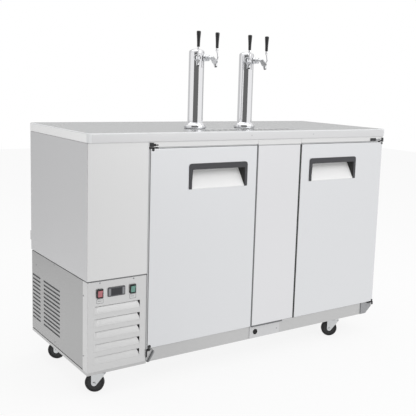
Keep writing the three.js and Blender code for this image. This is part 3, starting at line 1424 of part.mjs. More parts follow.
// A tower: column with domed cap, base flange, the lines inside, and two faucets with their levers
function makeTower(name, x) {
  const tower = new THREE.Group();
  tower.position.set(x, TOWER_Y, WORKTOP_HEIGHT);
  cooler.add(tower);
  const radius = COLUMN_DIAMETER / 2;
  const bore = radius - COLUMN_WALL;
  const shankZ = COLUMN_HEIGHT - SHANK_BELOW_TOP;
  const shoulder = COLUMN_HEIGHT - COLUMN_CAP;
  let column = turned(
    [
      [bore, SEAT],
      [radius, SEAT],
      [radius, shoulder],
      [radius * 0.97, shoulder + COLUMN_CAP * 0.45],
      [radius * 0.86, shoulder + COLUMN_CAP * 0.75],
      [radius * 0.6, shoulder + COLUMN_CAP * 0.93],
      [0, COLUMN_HEIGHT],
      [0, shoulder],
      [bore, shoulder],
      [bore, SEAT],
    ],
    ROUND_MANY,
  );
  const angles = [TOWER_TURN - FAUCET_ANGLE, TOWER_TURN + FAUCET_ANGLE];
  for (const angle of angles) {
    const passage = prism(
      polygon(SHANK_DIAMETER / 2 + SEAT, ROUND_SOME, 0, shankZ),
      "x",
      bore / 2,
      radius + OVERRUN,
    );
    column = column.subtract(turnedAbout(passage, Z, angle - 90));
  }
  piece(name + "_column", column, ...CHROME, tower);

  const flangeBore = radius + SEAT;
  const flange = turned(
    [
      [flangeBore, SEAT],
      [FLANGE_DIAMETER / 2, SEAT],
      [FLANGE_DIAMETER / 2, FLANGE_HEIGHT * 0.35],
      [FLANGE_DIAMETER * 0.485, FLANGE_HEIGHT * 0.6],
      [FLANGE_DIAMETER * 0.42, FLANGE_HEIGHT * 0.8],
      [radius + FLANGE_RIM, FLANGE_HEIGHT],
      [flangeBore, FLANGE_HEIGHT],
      [flangeBore, SEAT],
    ],
    ROUND_MANY,
  );
  piece(name + "_flange", flange, ...CHROME, tower);

  const sleeveTop = shankZ * 0.55;
  const lineFoot = BAY_IN_TOP - WORKTOP_HEIGHT - LINE_TAIL;
  const parts = [bar(SLEEVE_DIAMETER / 2, BAY_IN_TOP - WORKTOP_HEIGHT, sleeveTop, ROUND_SOME)];
  const tailR = radius - COLUMN_WALL - SHANK_TAIL;
  for (const angle of angles) {
    const side = Math.sign(angle);
    const dirX = Math.sin(angle * DEGREE);
    const dirY = -Math.cos(angle * DEGREE);
    parts.push(
      rod(
        [
          [dirX * (tailR - SEAT), dirY * (tailR - SEAT), shankZ],
          [dirX * tailR * 0.75, dirY * tailR * 0.75, shankZ],
          [side * HOSE_SPREAD * 0.9, dirY * tailR * 0.25, shankZ - HOSE_DIAMETER * 1.4],
          [side * HOSE_SPREAD, 0, sleeveTop - HOSE_DIAMETER],
        ],
        HOSE_DIAMETER / 2,
        PIPE_SIDES,
        6,
      ),
    );
    parts.push(
      bar(HOSE_DIAMETER / 2, lineFoot, sleeveTop / 2, ROUND_FEW, side * HOSE_SPREAD, 0),
    );
  }
  piece(name + "_beer_lines", joined(parts), 0xb9bdbf, 0.6, 0, tower);

  angles.forEach((angle, i) => {
    const faucet = new THREE.Group();
    faucet.position.set(0, 0, shankZ);
    faucet.rotation.z = (angle - 90) * DEGREE;
    tower.add(faucet);
    makeFaucet(name + (i === 0 ? "_left" : "_right"), faucet);
  });
}

// A faucet in its own frame: the shank runs out along +X, and Z is up
function makeFaucet(name, parent) {
  const radius = COLUMN_DIAMETER / 2;
  const start = radius - COLUMN_WALL - SHANK_TAIL;
  const collarFrom = radius + SEAT;
  const collarTo = collarFrom + COLLAR_LENGTH;
  const nutTo = collarTo + NUT_LENGTH;
  const round = turned(
    [
      [0, start],
      [SHANK_DIAMETER / 2, start],
      [SHANK_DIAMETER / 2, collarFrom],
      [COLLAR_DIAMETER / 2, collarFrom],
      [COLLAR_DIAMETER * 0.44, collarTo],
      [NUT_DIAMETER / 2, collarTo],
      [NUT_DIAMETER / 2, nutTo],
      [NECK_DIAMETER * 0.4, nutTo],
      [NECK_DIAMETER / 2, NECK_END],
      [0, NECK_END],
    ],
    ROUND_SOME,
  );
  const shank = turnedAbout(round, Y, 90);
  const gap = BARREL_WIDTH / 2 + SEAT;
  const earLow = -PIVOT_DROP - EAR_RADIUS;
  const earShape = outline([
    [NECK_END - EAR_RADIUS, NECK_DIAMETER * 0.3],
    [NECK_END - EAR_RADIUS, -NECK_DIAMETER * 0.35],
    [PIVOT_REACH - EAR_RADIUS, earLow, EAR_RADIUS / 3],
    [PIVOT_REACH + EAR_RADIUS, earLow, EAR_RADIUS / 3],
    [PIVOT_REACH + EAR_RADIUS, -PIVOT_DROP + EAR_RADIUS / 2, EAR_RADIUS / 2],
    [PIVOT_REACH + EAR_RADIUS / 3, -PIVOT_DROP + EAR_RADIUS, EAR_RADIUS / 3],
    [NECK_END, NECK_DIAMETER * 0.3],
  ]);
  const ears = prism(earShape, "y", -gap - EAR, gap + EAR);
  const slotRadius = BARREL_DIAMETER / 2 + SEAT;
  const slot = prism(
    outline([
      [PIVOT_REACH - slotRadius, -PIVOT_DROP - slotRadius],
      [PIVOT_REACH + EAR_RADIUS + OVERRUN, -PIVOT_DROP - slotRadius],
      [PIVOT_REACH + EAR_RADIUS + OVERRUN, NECK_DIAMETER],
      [PIVOT_REACH - slotRadius, NECK_DIAMETER],
    ]),
    "y",
    -gap,
    gap,
  );
  const spoutTop = earLow + SPOUT_DIAMETER / 4;
  const tipX = PIVOT_REACH + SPOUT_REACH;
  const tipZ = -PIVOT_DROP - SPOUT_DROP;
  const spout = rod(
    [
      [PIVOT_REACH, 0, spoutTop],
      [PIVOT_REACH + SPOUT_REACH * 0.6, 0, (spoutTop + tipZ) / 2],
      [tipX, 0, tipZ],
    ],
    SPOUT_DIAMETER / 2,
    ROUND_FEW,
    3,
  );
  const spoutBore = bar(SPOUT_BORE / 2, tipZ - OVERRUN, tipZ + SPOUT_DROP / 3, ROUND_FEW, tipX, 0);
  const body = joined([shank, ears, spout]).subtract(slot).subtract(spoutBore);
  piece(name + "_faucet", body, ...CHROME, parent);

  const leverTop = LEVER_RISE + PIVOT_DROP;
  const barrel = prism(
    polygon(BARREL_DIAMETER / 2, ROUND_SOME),
    "y",
    -BARREL_WIDTH / 2,
    BARREL_WIDTH / 2,
  );
  const stem = rod(
    [
      [0, 0, 0],
      [LEVER_BEND * 0.8, 0, LEVER_BEND * 0.7],
      [LEVER_BEND * 1.15, 0, LEVER_BEND * 1.8],
      [LEVER_BEND * 0.9, 0, leverTop * 0.75],
      [LEVER_BEND * 0.7, 0, leverTop],
    ],
    LEVER_DIAMETER / 2,
    PIPE_SIDES,
    7,
  );
  const grip = turned(
    [
      [0, -FERRULE_HEIGHT],
      [FERRULE_DIAMETER * 0.35, -FERRULE_HEIGHT],
      [FERRULE_DIAMETER / 2, -FERRULE_HEIGHT * 0.6],
      [FERRULE_DIAMETER * 0.42, 0],
      [HANDLE_FOOT_DIAMETER / 2, FERRULE_HEIGHT * 0.2],
      [HANDLE_FOOT_DIAMETER * 0.53, TAP_HANDLE_HEIGHT * 0.3],
      [HANDLE_HEAD_DIAMETER * 0.47, TAP_HANDLE_HEIGHT * 0.75],
      [HANDLE_HEAD_DIAMETER / 2, TAP_HANDLE_HEIGHT * 0.94],
      [HANDLE_HEAD_DIAMETER * 0.44, TAP_HANDLE_HEIGHT],
      [0, TAP_HANDLE_HEIGHT],
    ],
    ROUND_SOME,
  );
  const handle = shifted(grip, LEVER_BEND * 0.7, 0, leverTop);
  const lever = piece(name + "_tap", joined([barrel, stem, handle]), ...BLACK_PLASTIC, parent);
  lever.position.set(PIVOT_REACH, 0, -PIVOT_DROP);
}

// A swivel caster: fixed top plate with its stem, turning fork with the axle, and the wheel
function makeCaster(name, x, y) {
  const place = new THREE.Group();
  place.position.set(x, y, 0);
  cooler.add(place);
  const plateTop = CASTER_HEIGHT - SEAT;
  const plateLow = plateTop - CASTER_PLATE;
  const wheelRadius = WHEEL_DIAMETER / 2;
  const bridgeLow = wheelRadius * 2 + FORK_CLEARANCE;
  const bridgeHigh = bridgeLow + FORK_SHEET;
  const headHigh = plateLow - SEAT;
  const stemRadius = CASTER_STEM_DIAMETER / 2;
  const stemBore = turningBore(stemRadius, ROUND_SOME);
  const plan = rectangle(
    -CASTER_PLATE_WIDTH / 2,
    -CASTER_PLATE_DEPTH / 2,
    CASTER_PLATE_WIDTH / 2,
    CASTER_PLATE_DEPTH / 2,
    BEND_RADIUS,
  );
  const plate = prism(plan, "z", plateLow, plateTop).add(
    bar(stemRadius, bridgeLow, plateLow + SEAT, ROUND_SOME),
  );
  piece(name + "_caster_plate", plate, ...ZINC, place);

  const turning = new THREE.Group();
  turning.rotation.z = CASTER_TURN * DEGREE;
  place.add(turning);
  const gap = WHEEL_WIDTH / 2 + FORK_CLEARANCE;
  const headRadius = FORK_HEAD_DIAMETER / 2;
  const leg = new THREE.Shape();
  leg.moveTo(headRadius, bridgeHigh);
  leg.lineTo(-CASTER_TRAIL - FORK_EYE_RADIUS, bridgeHigh);
  leg.lineTo(-CASTER_TRAIL - FORK_EYE_RADIUS, wheelRadius);
  leg.absarc(-CASTER_TRAIL, wheelRadius, FORK_EYE_RADIUS, Math.PI, 1.78 * Math.PI, false);
  leg.closePath();
  const legs = prism(leg, "y", -gap - FORK_SHEET, gap + FORK_SHEET);
  const between = block(
    [-CASTER_TRAIL - wheelRadius, -gap, 0],
    [headRadius + OVERRUN, gap, bridgeLow],
  );
  const head = turned(
    [
      [stemBore, bridgeHigh - FORK_SHEET / 2],
      [headRadius, bridgeHigh - FORK_SHEET / 2],
      [headRadius * 0.85, headHigh],
      [stemBore, headHigh],
      [stemBore, bridgeHigh - FORK_SHEET / 2],
    ],
    ROUND_SOME,
  );
  const stemRoom = bar(stemBore, bridgeLow - OVERRUN, plateTop, ROUND_SOME);
  const axleEnd = gap + FORK_SHEET * 2;
  const axle = prism(
    polygon(AXLE_DIAMETER / 2, ROUND_FEW, -CASTER_TRAIL, wheelRadius),
    "y",
    -axleEnd,
    axleEnd,
  );
  const fork = legs.subtract(between).add(head).subtract(stemRoom).add(axle);
  piece(name + "_caster_fork", fork, 0xd0d2d3, 0.4, 0.8, turning);

  const hub = WHEEL_HUB_DIAMETER / 2;
  const half = WHEEL_WIDTH / 2;
  const boreRadius = turningBore(AXLE_DIAMETER / 2, ROUND_MANY);
  const hubHalf = half + FORK_CLEARANCE - SEAT;
  const wheel = turned(
    [
      [boreRadius, -hubHalf],
      [hub, -hubHalf],
      [hub, -half],
      [wheelRadius - WHEEL_CROWN, -half],
      [wheelRadius, -half + WHEEL_CROWN],
      [wheelRadius, half - WHEEL_CROWN],
      [wheelRadius - WHEEL_CROWN, half],
      [hub, half],
      [hub, hubHalf],
      [boreRadius, hubHalf],
      [boreRadius, -hubHalf],
    ],
    ROUND_MANY,
  );
  const roller = piece(name + "_caster_wheel", wheel, 0x242425, 0.6, 0, turning);
  roller.rotation.x = Math.PI / 2;
  roller.position.set(-CASTER_TRAIL, 0, wheelRadius);
}

makeWorktop();
makeDripTray();
makeCabinet();
makeCentrePanel();
makeBase();
makeGrillePanel();
makeBayCover();
makeControls();
makeCompressor();
makeCondenser();
makeEvaporator();
makeDoor(
  "left_door",
  DOOR1_LEFT,
  DOOR1_RIGHT,
  DOOR1_LEFT + HINGE_PIN_INSET,
  [BAY_IN_LEFT, POST_LEFT],
  DOOR1_RIGHT - HANDLE_FROM_FREE_EDGE - HANDLE_WIDTH,
);
makeDoor(
  "right_door",
  DOOR2_LEFT,
  DOOR2_RIGHT,
  DOOR2_RIGHT - HINGE_PIN_INSET,
  [POST_RIGHT, BAY_IN_RIGHT],
  DOOR2_LEFT + HANDLE_FROM_FREE_EDGE,
);
makeHinges("left_door", DOOR1_LEFT, 1, true);
makeHinges("right_door", DOOR2_RIGHT, -1, false);
makeTower("left_tower", TOWER_LEFT_X);
makeTower("right_tower", TOWER_RIGHT_X);
makeCaster("front_left", CASTER_LEFT_X, CASTER_FRONT_Y);
makeCaster("front_right", CASTER_RIGHT_X, CASTER_FRONT_Y);
makeCaster("rear_left", CASTER_LEFT_X, CASTER_REAR_Y);
makeCaster("rear_right", CASTER_RIGHT_X, CASTER_REAR_Y);

export default cooler;
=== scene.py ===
# %% [markdown]
# # Draft beer cooler with two double-tap towers
# The cooler keeps kegs behind two doors and pours through two towers on its worktop. The CAD
# model gives every size and place. This script adds the finishes, the small fittings and the
# light that make the metal look like metal. Blender counts in metres with +Z up. The sizes
# named here are millimetres, as on a workshop drawing, unless a comment says otherwise.
# %% title: load the CAD model
import bpy, bmesh, json, math
from mathutils import Matrix, Vector


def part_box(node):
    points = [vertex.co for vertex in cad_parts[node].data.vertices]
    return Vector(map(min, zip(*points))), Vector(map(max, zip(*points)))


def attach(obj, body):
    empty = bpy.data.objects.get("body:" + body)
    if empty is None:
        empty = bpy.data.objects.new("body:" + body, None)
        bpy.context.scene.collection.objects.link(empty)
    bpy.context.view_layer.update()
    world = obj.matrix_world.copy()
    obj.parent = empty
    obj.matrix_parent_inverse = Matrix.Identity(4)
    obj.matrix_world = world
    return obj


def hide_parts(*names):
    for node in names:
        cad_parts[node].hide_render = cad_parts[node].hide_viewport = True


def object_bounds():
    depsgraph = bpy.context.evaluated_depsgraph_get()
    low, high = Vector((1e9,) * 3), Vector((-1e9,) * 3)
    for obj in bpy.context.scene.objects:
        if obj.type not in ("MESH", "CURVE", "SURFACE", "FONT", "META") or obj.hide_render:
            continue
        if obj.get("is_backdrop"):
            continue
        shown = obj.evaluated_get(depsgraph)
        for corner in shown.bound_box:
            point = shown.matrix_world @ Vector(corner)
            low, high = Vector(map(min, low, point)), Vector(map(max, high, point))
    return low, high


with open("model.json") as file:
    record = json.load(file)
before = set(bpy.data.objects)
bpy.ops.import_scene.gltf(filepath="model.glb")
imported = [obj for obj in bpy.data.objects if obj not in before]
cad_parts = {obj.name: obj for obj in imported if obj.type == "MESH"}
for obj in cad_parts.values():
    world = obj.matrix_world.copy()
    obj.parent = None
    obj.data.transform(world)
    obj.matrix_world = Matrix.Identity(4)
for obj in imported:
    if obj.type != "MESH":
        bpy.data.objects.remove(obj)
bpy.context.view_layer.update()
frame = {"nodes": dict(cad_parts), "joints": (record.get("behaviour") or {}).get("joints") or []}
nodes = frame["nodes"]
scene = bpy.context.scene
scene.view_settings.view_transform = "Standard"
MM = 0.001

# %% [markdown]
# The camera stands in front of the cooler and to its left, a little above the worktop, so that
# the front and the left end both show. It could be aimed at a target, but a place in metres and
# three angles in degrees can be matched to the object's straight edges one by one. The shift
# slides the picture without turning the camera.
# %% title: camera
CAMERA_PLACE = Vector((-1.8456, -2.7203, 1.24215))
CAMERA_YAW, CAMERA_PITCH, CAMERA_ROLL = (math.radians(a) for a in (35.578, -8.453, 1.98))
FOCAL_LENGTH, SENSOR_WIDTH = 61.44, 36.0
SHIFT_X, SHIFT_Y = -0.0614, -0.0514

camera_data = bpy.data.cameras.new("camera")
camera_data.lens, camera_data.sensor_width = FOCAL_LENGTH, SENSOR_WIDTH
camera_data.shift_x, camera_data.shift_y = SHIFT_X, SHIFT_Y
camera = bpy.data.objects.new("camera", camera_data)
scene.collection.objects.link(camera)
scene.camera = camera

ahead = Vector((math.sin(CAMERA_YAW) * math.cos(CAMERA_PITCH),
                math.cos(CAMERA_YAW) * math.cos(CAMERA_PITCH), math.sin(CAMERA_PITCH)))
side = Vector((math.cos(CAMERA_YAW), -math.sin(CAMERA_YAW), 0.0))
over = side.cross(ahead)
roll_cos, roll_sin = math.cos(CAMERA_ROLL), math.sin(CAMERA_ROLL)
right, up = roll_cos * side + roll_sin * over, roll_cos * over - roll_sin * side
turn = Matrix((right, up, -ahead)).transposed().to_4x4()
camera.matrix_world = Matrix.Translation(CAMERA_PLACE) @ turn
print("camera looks along", [round(v, 3) for v in ahead])


# %% [markdown]
# A finish is a colour, how metallic and how rough it is, and a fine pattern. Pictures could
# carry the pattern, but they need a UV map and blur close up. Noise on Object coordinates needs
# neither. Its scale counts cells per metre, so 1000 is a grain of 1 mm.
# %% title: helpers for materials
def linear(hex_colour):
    """The linear RGBA of a screen colour written as #RRGGBB."""
    channels = [int(hex_colour[i:i + 2], 16) / 255 for i in (1, 3, 5)]
    return [v / 12.92 if v <= 0.04045 else ((v + 0.055) / 1.055) ** 2.4 for v in channels] + [1.0]


def add_node(tree, kind, settings=None, links=None):
    """Adds a node, sets its properties and inputs by name, and links sockets to its inputs,
    which are given by name or by number."""
    node = tree.nodes.new(kind)
    for name, value in (settings or {}).items():
        if name in node.inputs:
            node.inputs[name].default_value = value
        else:
            setattr(node, name, value)
    for name, socket in (links or {}).items():
        tree.links.new(socket, node.inputs[name])
    return node


def add_noise(tree, scale, detail, stretch):
    """The value of a noise with that many cells per metre, thinned on an axis by its stretch."""
    place = add_node(tree, "ShaderNodeTexCoord")
    mapped = add_node(tree, "ShaderNodeMapping", {"Scale": stretch}, {"Vector": place.outputs["Object"]})
    noise = add_node(tree, "ShaderNodeTexNoise", {"Scale": scale, "Detail": detail},
                     {"Vector": mapped.outputs["Vector"]})
    return noise.outputs["Factor" if "Factor" in noise.outputs else "Fac"]


def vary(tree, shader, low, high, scale, stretch=(1, 1, 1)):
    """Lets the roughness wander between two values."""
    noise = add_noise(tree, scale, 3.0, stretch)
    spread = add_node(tree, "ShaderNodeMapRange",
                      {"From Min": 0.3, "From Max": 0.7, "To Min": low, "To Max": high}, {"Value": noise})
    tree.links.new(spread.outputs["Result"], shader.inputs["Roughness"])


def roughen(tree, shader, depth, scale):
    """Adds a fine relief of that depth in mm."""
    noise = add_noise(tree, scale, 4.0, (1, 1, 1))
    bump = add_node(tree, "ShaderNodeBump", {"Strength": 1.0, "Distance": depth * MM}, {"Height": noise})
    tree.links.new(bump.outputs["Normal"], shader.inputs["Normal"])


def new_material(name, colour, spread=None, relief=None, **settings):
    """A Principled material. Its spread is the lowest and the highest roughness and the cells
    per metre, its relief is a depth in mm and the cells per metre, and the rest are inputs of
    the shader, with an underscore for a space."""
    material = bpy.data.materials.new(name)
    material.use_nodes = True
    tree = material.node_tree
    shader = tree.nodes["Principled BSDF"]
    shader.inputs["Base Color"].default_value = linear(colour)
    for key, value in settings.items():
        shader.inputs[key.replace("_", " ")].default_value = value
    if spread:
        vary(tree, shader, *spread)
    if relief:
        roughen(tree, shader, *relief)
    return material


# %% [markdown]
# Stainless sheet is rolled and then brushed, so its grain is very long and very thin. The eye
# sees faint streaks and a soft sheen across them. Scratches could be drawn as relief, but they
# would sparkle at this size. Noise that is stretched fifty times along the brushing only
# changes the roughness a little, and stays calm.
# %% title: stainless steel sheet
BRUSH_GRAIN, BRUSH_SPREAD, BRUSH_STRETCH = 900, 0.03, 0.02


def brushed_steel(name, colour, roughness, grain):
    """Brushed stainless sheet; grain is the axis along which it was brushed."""
    stretch = [BRUSH_STRETCH if axis == grain else 1.0 for axis in "xyz"]
    spread = (roughness - BRUSH_SPREAD, roughness + BRUSH_SPREAD, BRUSH_GRAIN, stretch)
    return new_material(name, colour, spread, Metallic=1.0, Roughness=roughness)


# Upright panels: a pale, even sheen that runs up and down
front_steel = brushed_steel("brushed stainless steel front", "#E3E4E6", 0.42, "z")
shell_steel = brushed_steel("brushed stainless steel upper front", "#E3E3E3", 0.42, "z")
panel_steel = brushed_steel("brushed stainless steel centre panel", "#E4E4E6", 0.32, "z")
# On the cabinet's end this darker tone is painted shade; the end is also rougher
side_steel = brushed_steel("brushed stainless steel end", "#D9D9DA", 0.6, "z")
# The worktop: wiped smooth, so it mirrors the towers, with a duller front and left edge. Its faces get tones
# of painted light and shade by the way they look: the top a shade darker, the bent edge paler and the left
# end near white
top_steel = brushed_steel("brushed stainless steel worktop", "#CFD0D1", 0.24, "x")
apron_steel = brushed_steel("brushed stainless steel worktop front", "#DCDCDD", 0.42, "x")
# Painted light: the worktop's left end, and the screws in it, are near white
end_steel_painted_light = brushed_steel("bright left edge of the worktop", "#FBFBFB", 0.55, "x")
# Plainer sheet on the base, the bay and the inside: a little darker and greyer; the bay cover on the left
# end is darker still, as painted shade
base_steel = brushed_steel("brushed stainless steel base", "#C9C9C9", 0.45, "x")
louvre_steel = brushed_steel("brushed stainless steel louvred panel", "#DADADA", 0.45, "x")
cover_steel_painted_shade = brushed_steel("brushed stainless steel bay cover", "#B4B4B4", 0.42, "x")
liner_steel = brushed_steel("dull stainless steel liner", "#C4C5C6", 0.5, "x")
# Satin pieces: they scatter the light, and their pale colours are painted light, so they look bright from
# every side
SATIN = (0.57, 0.63, BRUSH_GRAIN, (BRUSH_STRETCH, 1, 1))
# Painted reflection: the pull plate is almost without metal and near white, so it stays bright where steel
# would mirror the dark tub
plate_steel_painted_bright = new_material("satin stainless pull plate", "#F6F6F6", SATIN, Metallic=0.1, Roughness=0.6)
# The bent edge is duller, and its pale colour is painted light that hides the shade line between the top and
# the front
roll_steel_painted_light = new_material("satin bent edge of the worktop", "#E8E9EA", SATIN, Metallic=0.3, Roughness=0.6)
print("materials so far:", len(bpy.data.materials))

# %% [markdown]
# The fittings are plated, polished or painted. Each metal could share one material, but the eye
# tells them apart by how clear their reflections are, so each has a roughness of its own.
# %% title: bare and plated metals
# Zinc: a cool grey, slightly clouded mirror
zinc = new_material("zinc plated steel", "#D0D2D3", (0.31, 0.35, 120), Metallic=1.0, Roughness=0.33)
# Chrome: a clear mirror with dark and light bands
chrome = new_material("polished chrome plate", "#E8E8EA", (0.04, 0.08, 40), Metallic=1.0, Roughness=0.06)
# Cast and polished stainless: soft-edged highlights
faucet_steel = new_material("polished stainless faucet", "#D2D3D5", (0.17, 0.23, 60), Metallic=1.0,
                            Roughness=0.2)
# Drawn tube: warm, with dull and bright patches
copper = new_material("drawn copper tube", "#C98A6B", (0.22, 0.42, 160), Metallic=1.0, Roughness=0.3)
# Paint over steel: hardly a mirror at all
hinge_grey = new_material("grey painted hinge steel", "#A2A3A5", (0.42, 0.48, 300), Metallic=0.6,
                          Roughness=0.5)
dark_hinge = new_material("dark painted hinge rib", "#8F9092", (0.46, 0.54, 300), Metallic=0.3,
                          Roughness=0.5)
# Screw heads: small dull glints
screw_steel = new_material("stainless screw heads", "#A9AAAC", (0.3, 0.4, 300), Metallic=1.0, Roughness=0.35)
print("materials so far:", len(bpy.data.materials))

# %% [markdown]
# The plastics are moulded, so they carry the fine grain of their mould, and rubber is matt. A
# plain dark colour would look like a hole in the metal. A relief of a few hundredths of a
# millimetre breaks the highlight up and shows that there is a surface.
# %% title: plastics, rubber and paint
# ABS: a soft highlight over a fine grain
black_abs = new_material("moulded black ABS", "#242526", relief=(0.04, 1800), Roughness=0.45)
trim_abs = new_material("dark grey ABS trim", "#3D3D41", relief=(0.04, 1500), Roughness=0.42)
well_abs = new_material("black ABS handle well", "#1E1E1E", relief=(0.04, 1500), Roughness=0.5)
grey_abs = new_material("moulded grey ABS", "#545558", relief=(0.04, 1800), Roughness=0.4)
# Painted light: the pale door edges stand in for light in the gaps round the doors
edge_cap_painted_light = new_material("light grey ABS door edge", "#D9DADB", relief=(0.03, 1200), Roughness=0.5)
# Harder plastics: a clearer highlight, and a gentle ripple where the sheet was drawn by vacuum
grip_abs = new_material("glossy black phenolic grip", "#2B2B2C", (0.2, 0.3, 90), Roughness=0.25)
fan_nylon = new_material("black nylon fan blade", "#2E2F31", relief=(0.03, 900), Roughness=0.4)
white_hips = new_material("vacuum formed white polystyrene", "#EDEEEE", relief=(0.2, 60), Roughness=0.3)
# Rockers: coloured lenses that are unlit, so their colours are muted
red_lens = new_material("red polycarbonate rocker", "#B97379", (0.26, 0.34, 400), Roughness=0.3)
green_lens = new_material("green polycarbonate rocker", "#6C9A8E", (0.26, 0.34, 400), Roughness=0.3)
# Rubber, foam and soft PVC: matt, with hardly a highlight
seal_rubber = new_material("grey PVC door gasket", "#8D8E90", relief=(0.06, 700), Roughness=0.6)
plug_rubber = new_material("black EPDM drain plug", "#0C0C0C", relief=(0.05, 900), Roughness=0.7)
tyre_rubber = new_material("black rubber caster tread", "#181818", relief=(0.08, 900), Roughness=0.6)
# These three greys are painted tones laid in gaps: the mid and dark grey are painted shade at the bay's step
# and beside and under the centre panel, and the light grey is painted light in the door gaps
step_strip_painted_shade = new_material("mid grey foam seal", "#969799", relief=(0.1, 700), Roughness=0.8)
gap_strip_painted_shade = new_material("dark grey foam seal", "#7A7B7D", relief=(0.1, 700), Roughness=0.8)
gap_strip_painted_light = new_material("light grey PVC gap strip", "#B9BABB", relief=(0.03, 900), Roughness=0.6)
screen_mesh = new_material("dark grey dust screen", "#5F6062", relief=(0.3, 1200), Roughness=0.8)
# Clear vinyl: it lets part of the light through
hose_vinyl = new_material("clear vinyl beer line", "#D9DCDD", Roughness=0.25, Transmission_Weight=0.4)
# Enamel, label film and ink: smooth skins over something else
black_enamel = new_material("baked black enamel", "#1F2022", relief=(0.05, 300), Roughness=0.35)
label_film = new_material("blank satin label film", "#D6D6D6", (0.45, 0.55, 200), Roughness=0.5)
label_ink = new_material("grey label border", "#7E7F81", (0.5, 0.6, 200), Roughness=0.55)
band_grey = new_material("light grey keypad band", "#8E8F92", (0.46, 0.54, 200), Roughness=0.5)
dark_glass = new_material("smoked acrylic display", "#2A2B2F", (0.12, 0.18, 60), Roughness=0.15)
print("materials so far:", len(bpy.data.materials))

# %% [markdown]
# Every CAD node gets its finish from its name, or from the end of its name where a piece is
# made more than once. Picking them by hand would do too, but a table shows at a glance what is
# made of what.
# %% title: give every CAD node its finish
FINISHES = {
    "worktop": top_steel, "drip_tray": top_steel, "drip_grid": top_steel,
    "cabinet_shell": side_steel, "cabinet_liner": liner_steel, "centre_panel": panel_steel,
    "base_frame": base_steel, "drain_plug": plug_rubber, "grille_panel": front_steel,
    "bay_cover": cover_steel_painted_shade, "controller": grey_abs, "power_switch_body": black_abs,
    "power_rocker": red_lens, "light_switch_body": black_abs, "light_rocker": green_lens,
    "compressor": black_enamel, "condenser_coil": copper, "condenser_fan_shroud": zinc,
    "condenser_fan": fan_nylon, "evaporator_coil": zinc, "evaporator_cover": white_hips,
    "evaporator_fan": fan_nylon,
}
ENDINGS = {
    "door_leaf": front_steel, "door_gasket": seal_rubber, "door_handle_tub": well_abs,
    "door_pull_plate": plate_steel_painted_bright, "hinge": zinc, "tower_column": chrome,
    "tower_flange": chrome, "beer_lines": hose_vinyl, "faucet": faucet_steel, "tap": grip_abs,
    "caster_plate": zinc, "caster_fork": zinc, "caster_wheel": tyre_rubber,
}
for name, node in nodes.items():
    finish = FINISHES.get(name) or next(ENDINGS[e] for e in ENDINGS if name.endswith(e))
    node.data.materials.clear()
    node.data.materials.append(finish)
print("CAD nodes with a finish:", len(nodes))

# %% [markdown]
# Metal needs something pale to mirror and soft light to shade it, as in a photographer's studio.
# The world could light everything alone, but the edges would lose their shape. So it is white
# to the camera and in reflections, dimmer as a light, and two wide lamps do the modelling.
# %% title: world and lamps
WORLD_LIGHT = 0.75
# Each lamp's place, target and width in metres, and its power in watts
LAMPS = {"key": ((1.2, -3.2, 3.0), (0, 0, 0.6), 3.2, 33), "top": ((0.0, 0.4, 3.6), (0, 0, 1.0), 3.0, 26)}


def seen_by(tree, *rays):
    """A value that is 1 for those kinds of ray and 0 for the others."""
    path = add_node(tree, "ShaderNodeLightPath")
    seen = path.outputs[rays[0]]
    for ray in rays[1:]:
        either = add_node(tree, "ShaderNodeMath", {"operation": "MAXIMUM"}, {0: seen, 1: path.outputs[ray]})
        seen = either.outputs[0]
    return seen


def softbox(name, place, target, size, power):
    """A square area lamp of that size that points at the target."""
    lamp = bpy.data.lights.new(name, "AREA")
    lamp.shape, lamp.size, lamp.energy = "SQUARE", size, power
    lamp_object = bpy.data.objects.new(name, lamp)
    scene.collection.objects.link(lamp_object)
    aim = (Vector(target) - Vector(place)).to_track_quat("-Z", "Y").to_matrix().to_4x4()
    lamp_object.matrix_world = Matrix.Translation(place) @ aim


world = bpy.data.worlds.new("studio")
scene.world = world
world.use_nodes = True
sky_tree = world.node_tree
sky_tree.nodes.clear()
seen = seen_by(sky_tree, "Is Camera Ray", "Is Glossy Ray", "Is Transmission Ray")
strength = add_node(sky_tree, "ShaderNodeMapRange", {"To Min": WORLD_LIGHT, "To Max": 1.0}, {"Value": seen})
sky = add_node(sky_tree, "ShaderNodeBackground", {"Color": (1, 1, 1, 1)},
               {"Strength": strength.outputs["Result"]})
add_node(sky_tree, "ShaderNodeOutputWorld", {}, {"Surface": sky.outputs["Background"]})
for name, (place, target, size, power) in LAMPS.items():
    softbox(name, place, target, size, power)
print("lamps:", len(LAMPS))

# %% [markdown]
# The floor is plain and pale. It is a single square that mostly glows for the camera and in
# reflections, so it meets the white world without an edge, and it still takes the shadow
# between the casters. Bright metal also shows what stands around it. Grey cards, which only
# reflections see, give the columns their dark core and the left end its darker tone.
# %% title: floor and cards for the reflections
# The studio's sizes are metres
FLOOR_HALF, FLOOR_GLOW = 9.0, 0.85
CARD_TOP, CARD_STEPS = 4.0, 8
# Each card's two angles, counted from the camera to its right, its distance and its grey
CARDS = {"camera side": (-34, 36, 5.0, 0.16), "left and back": (-180, -91, 2.4, 0.68),
         "right and back": (110, 180, 5.0, 0.68)}


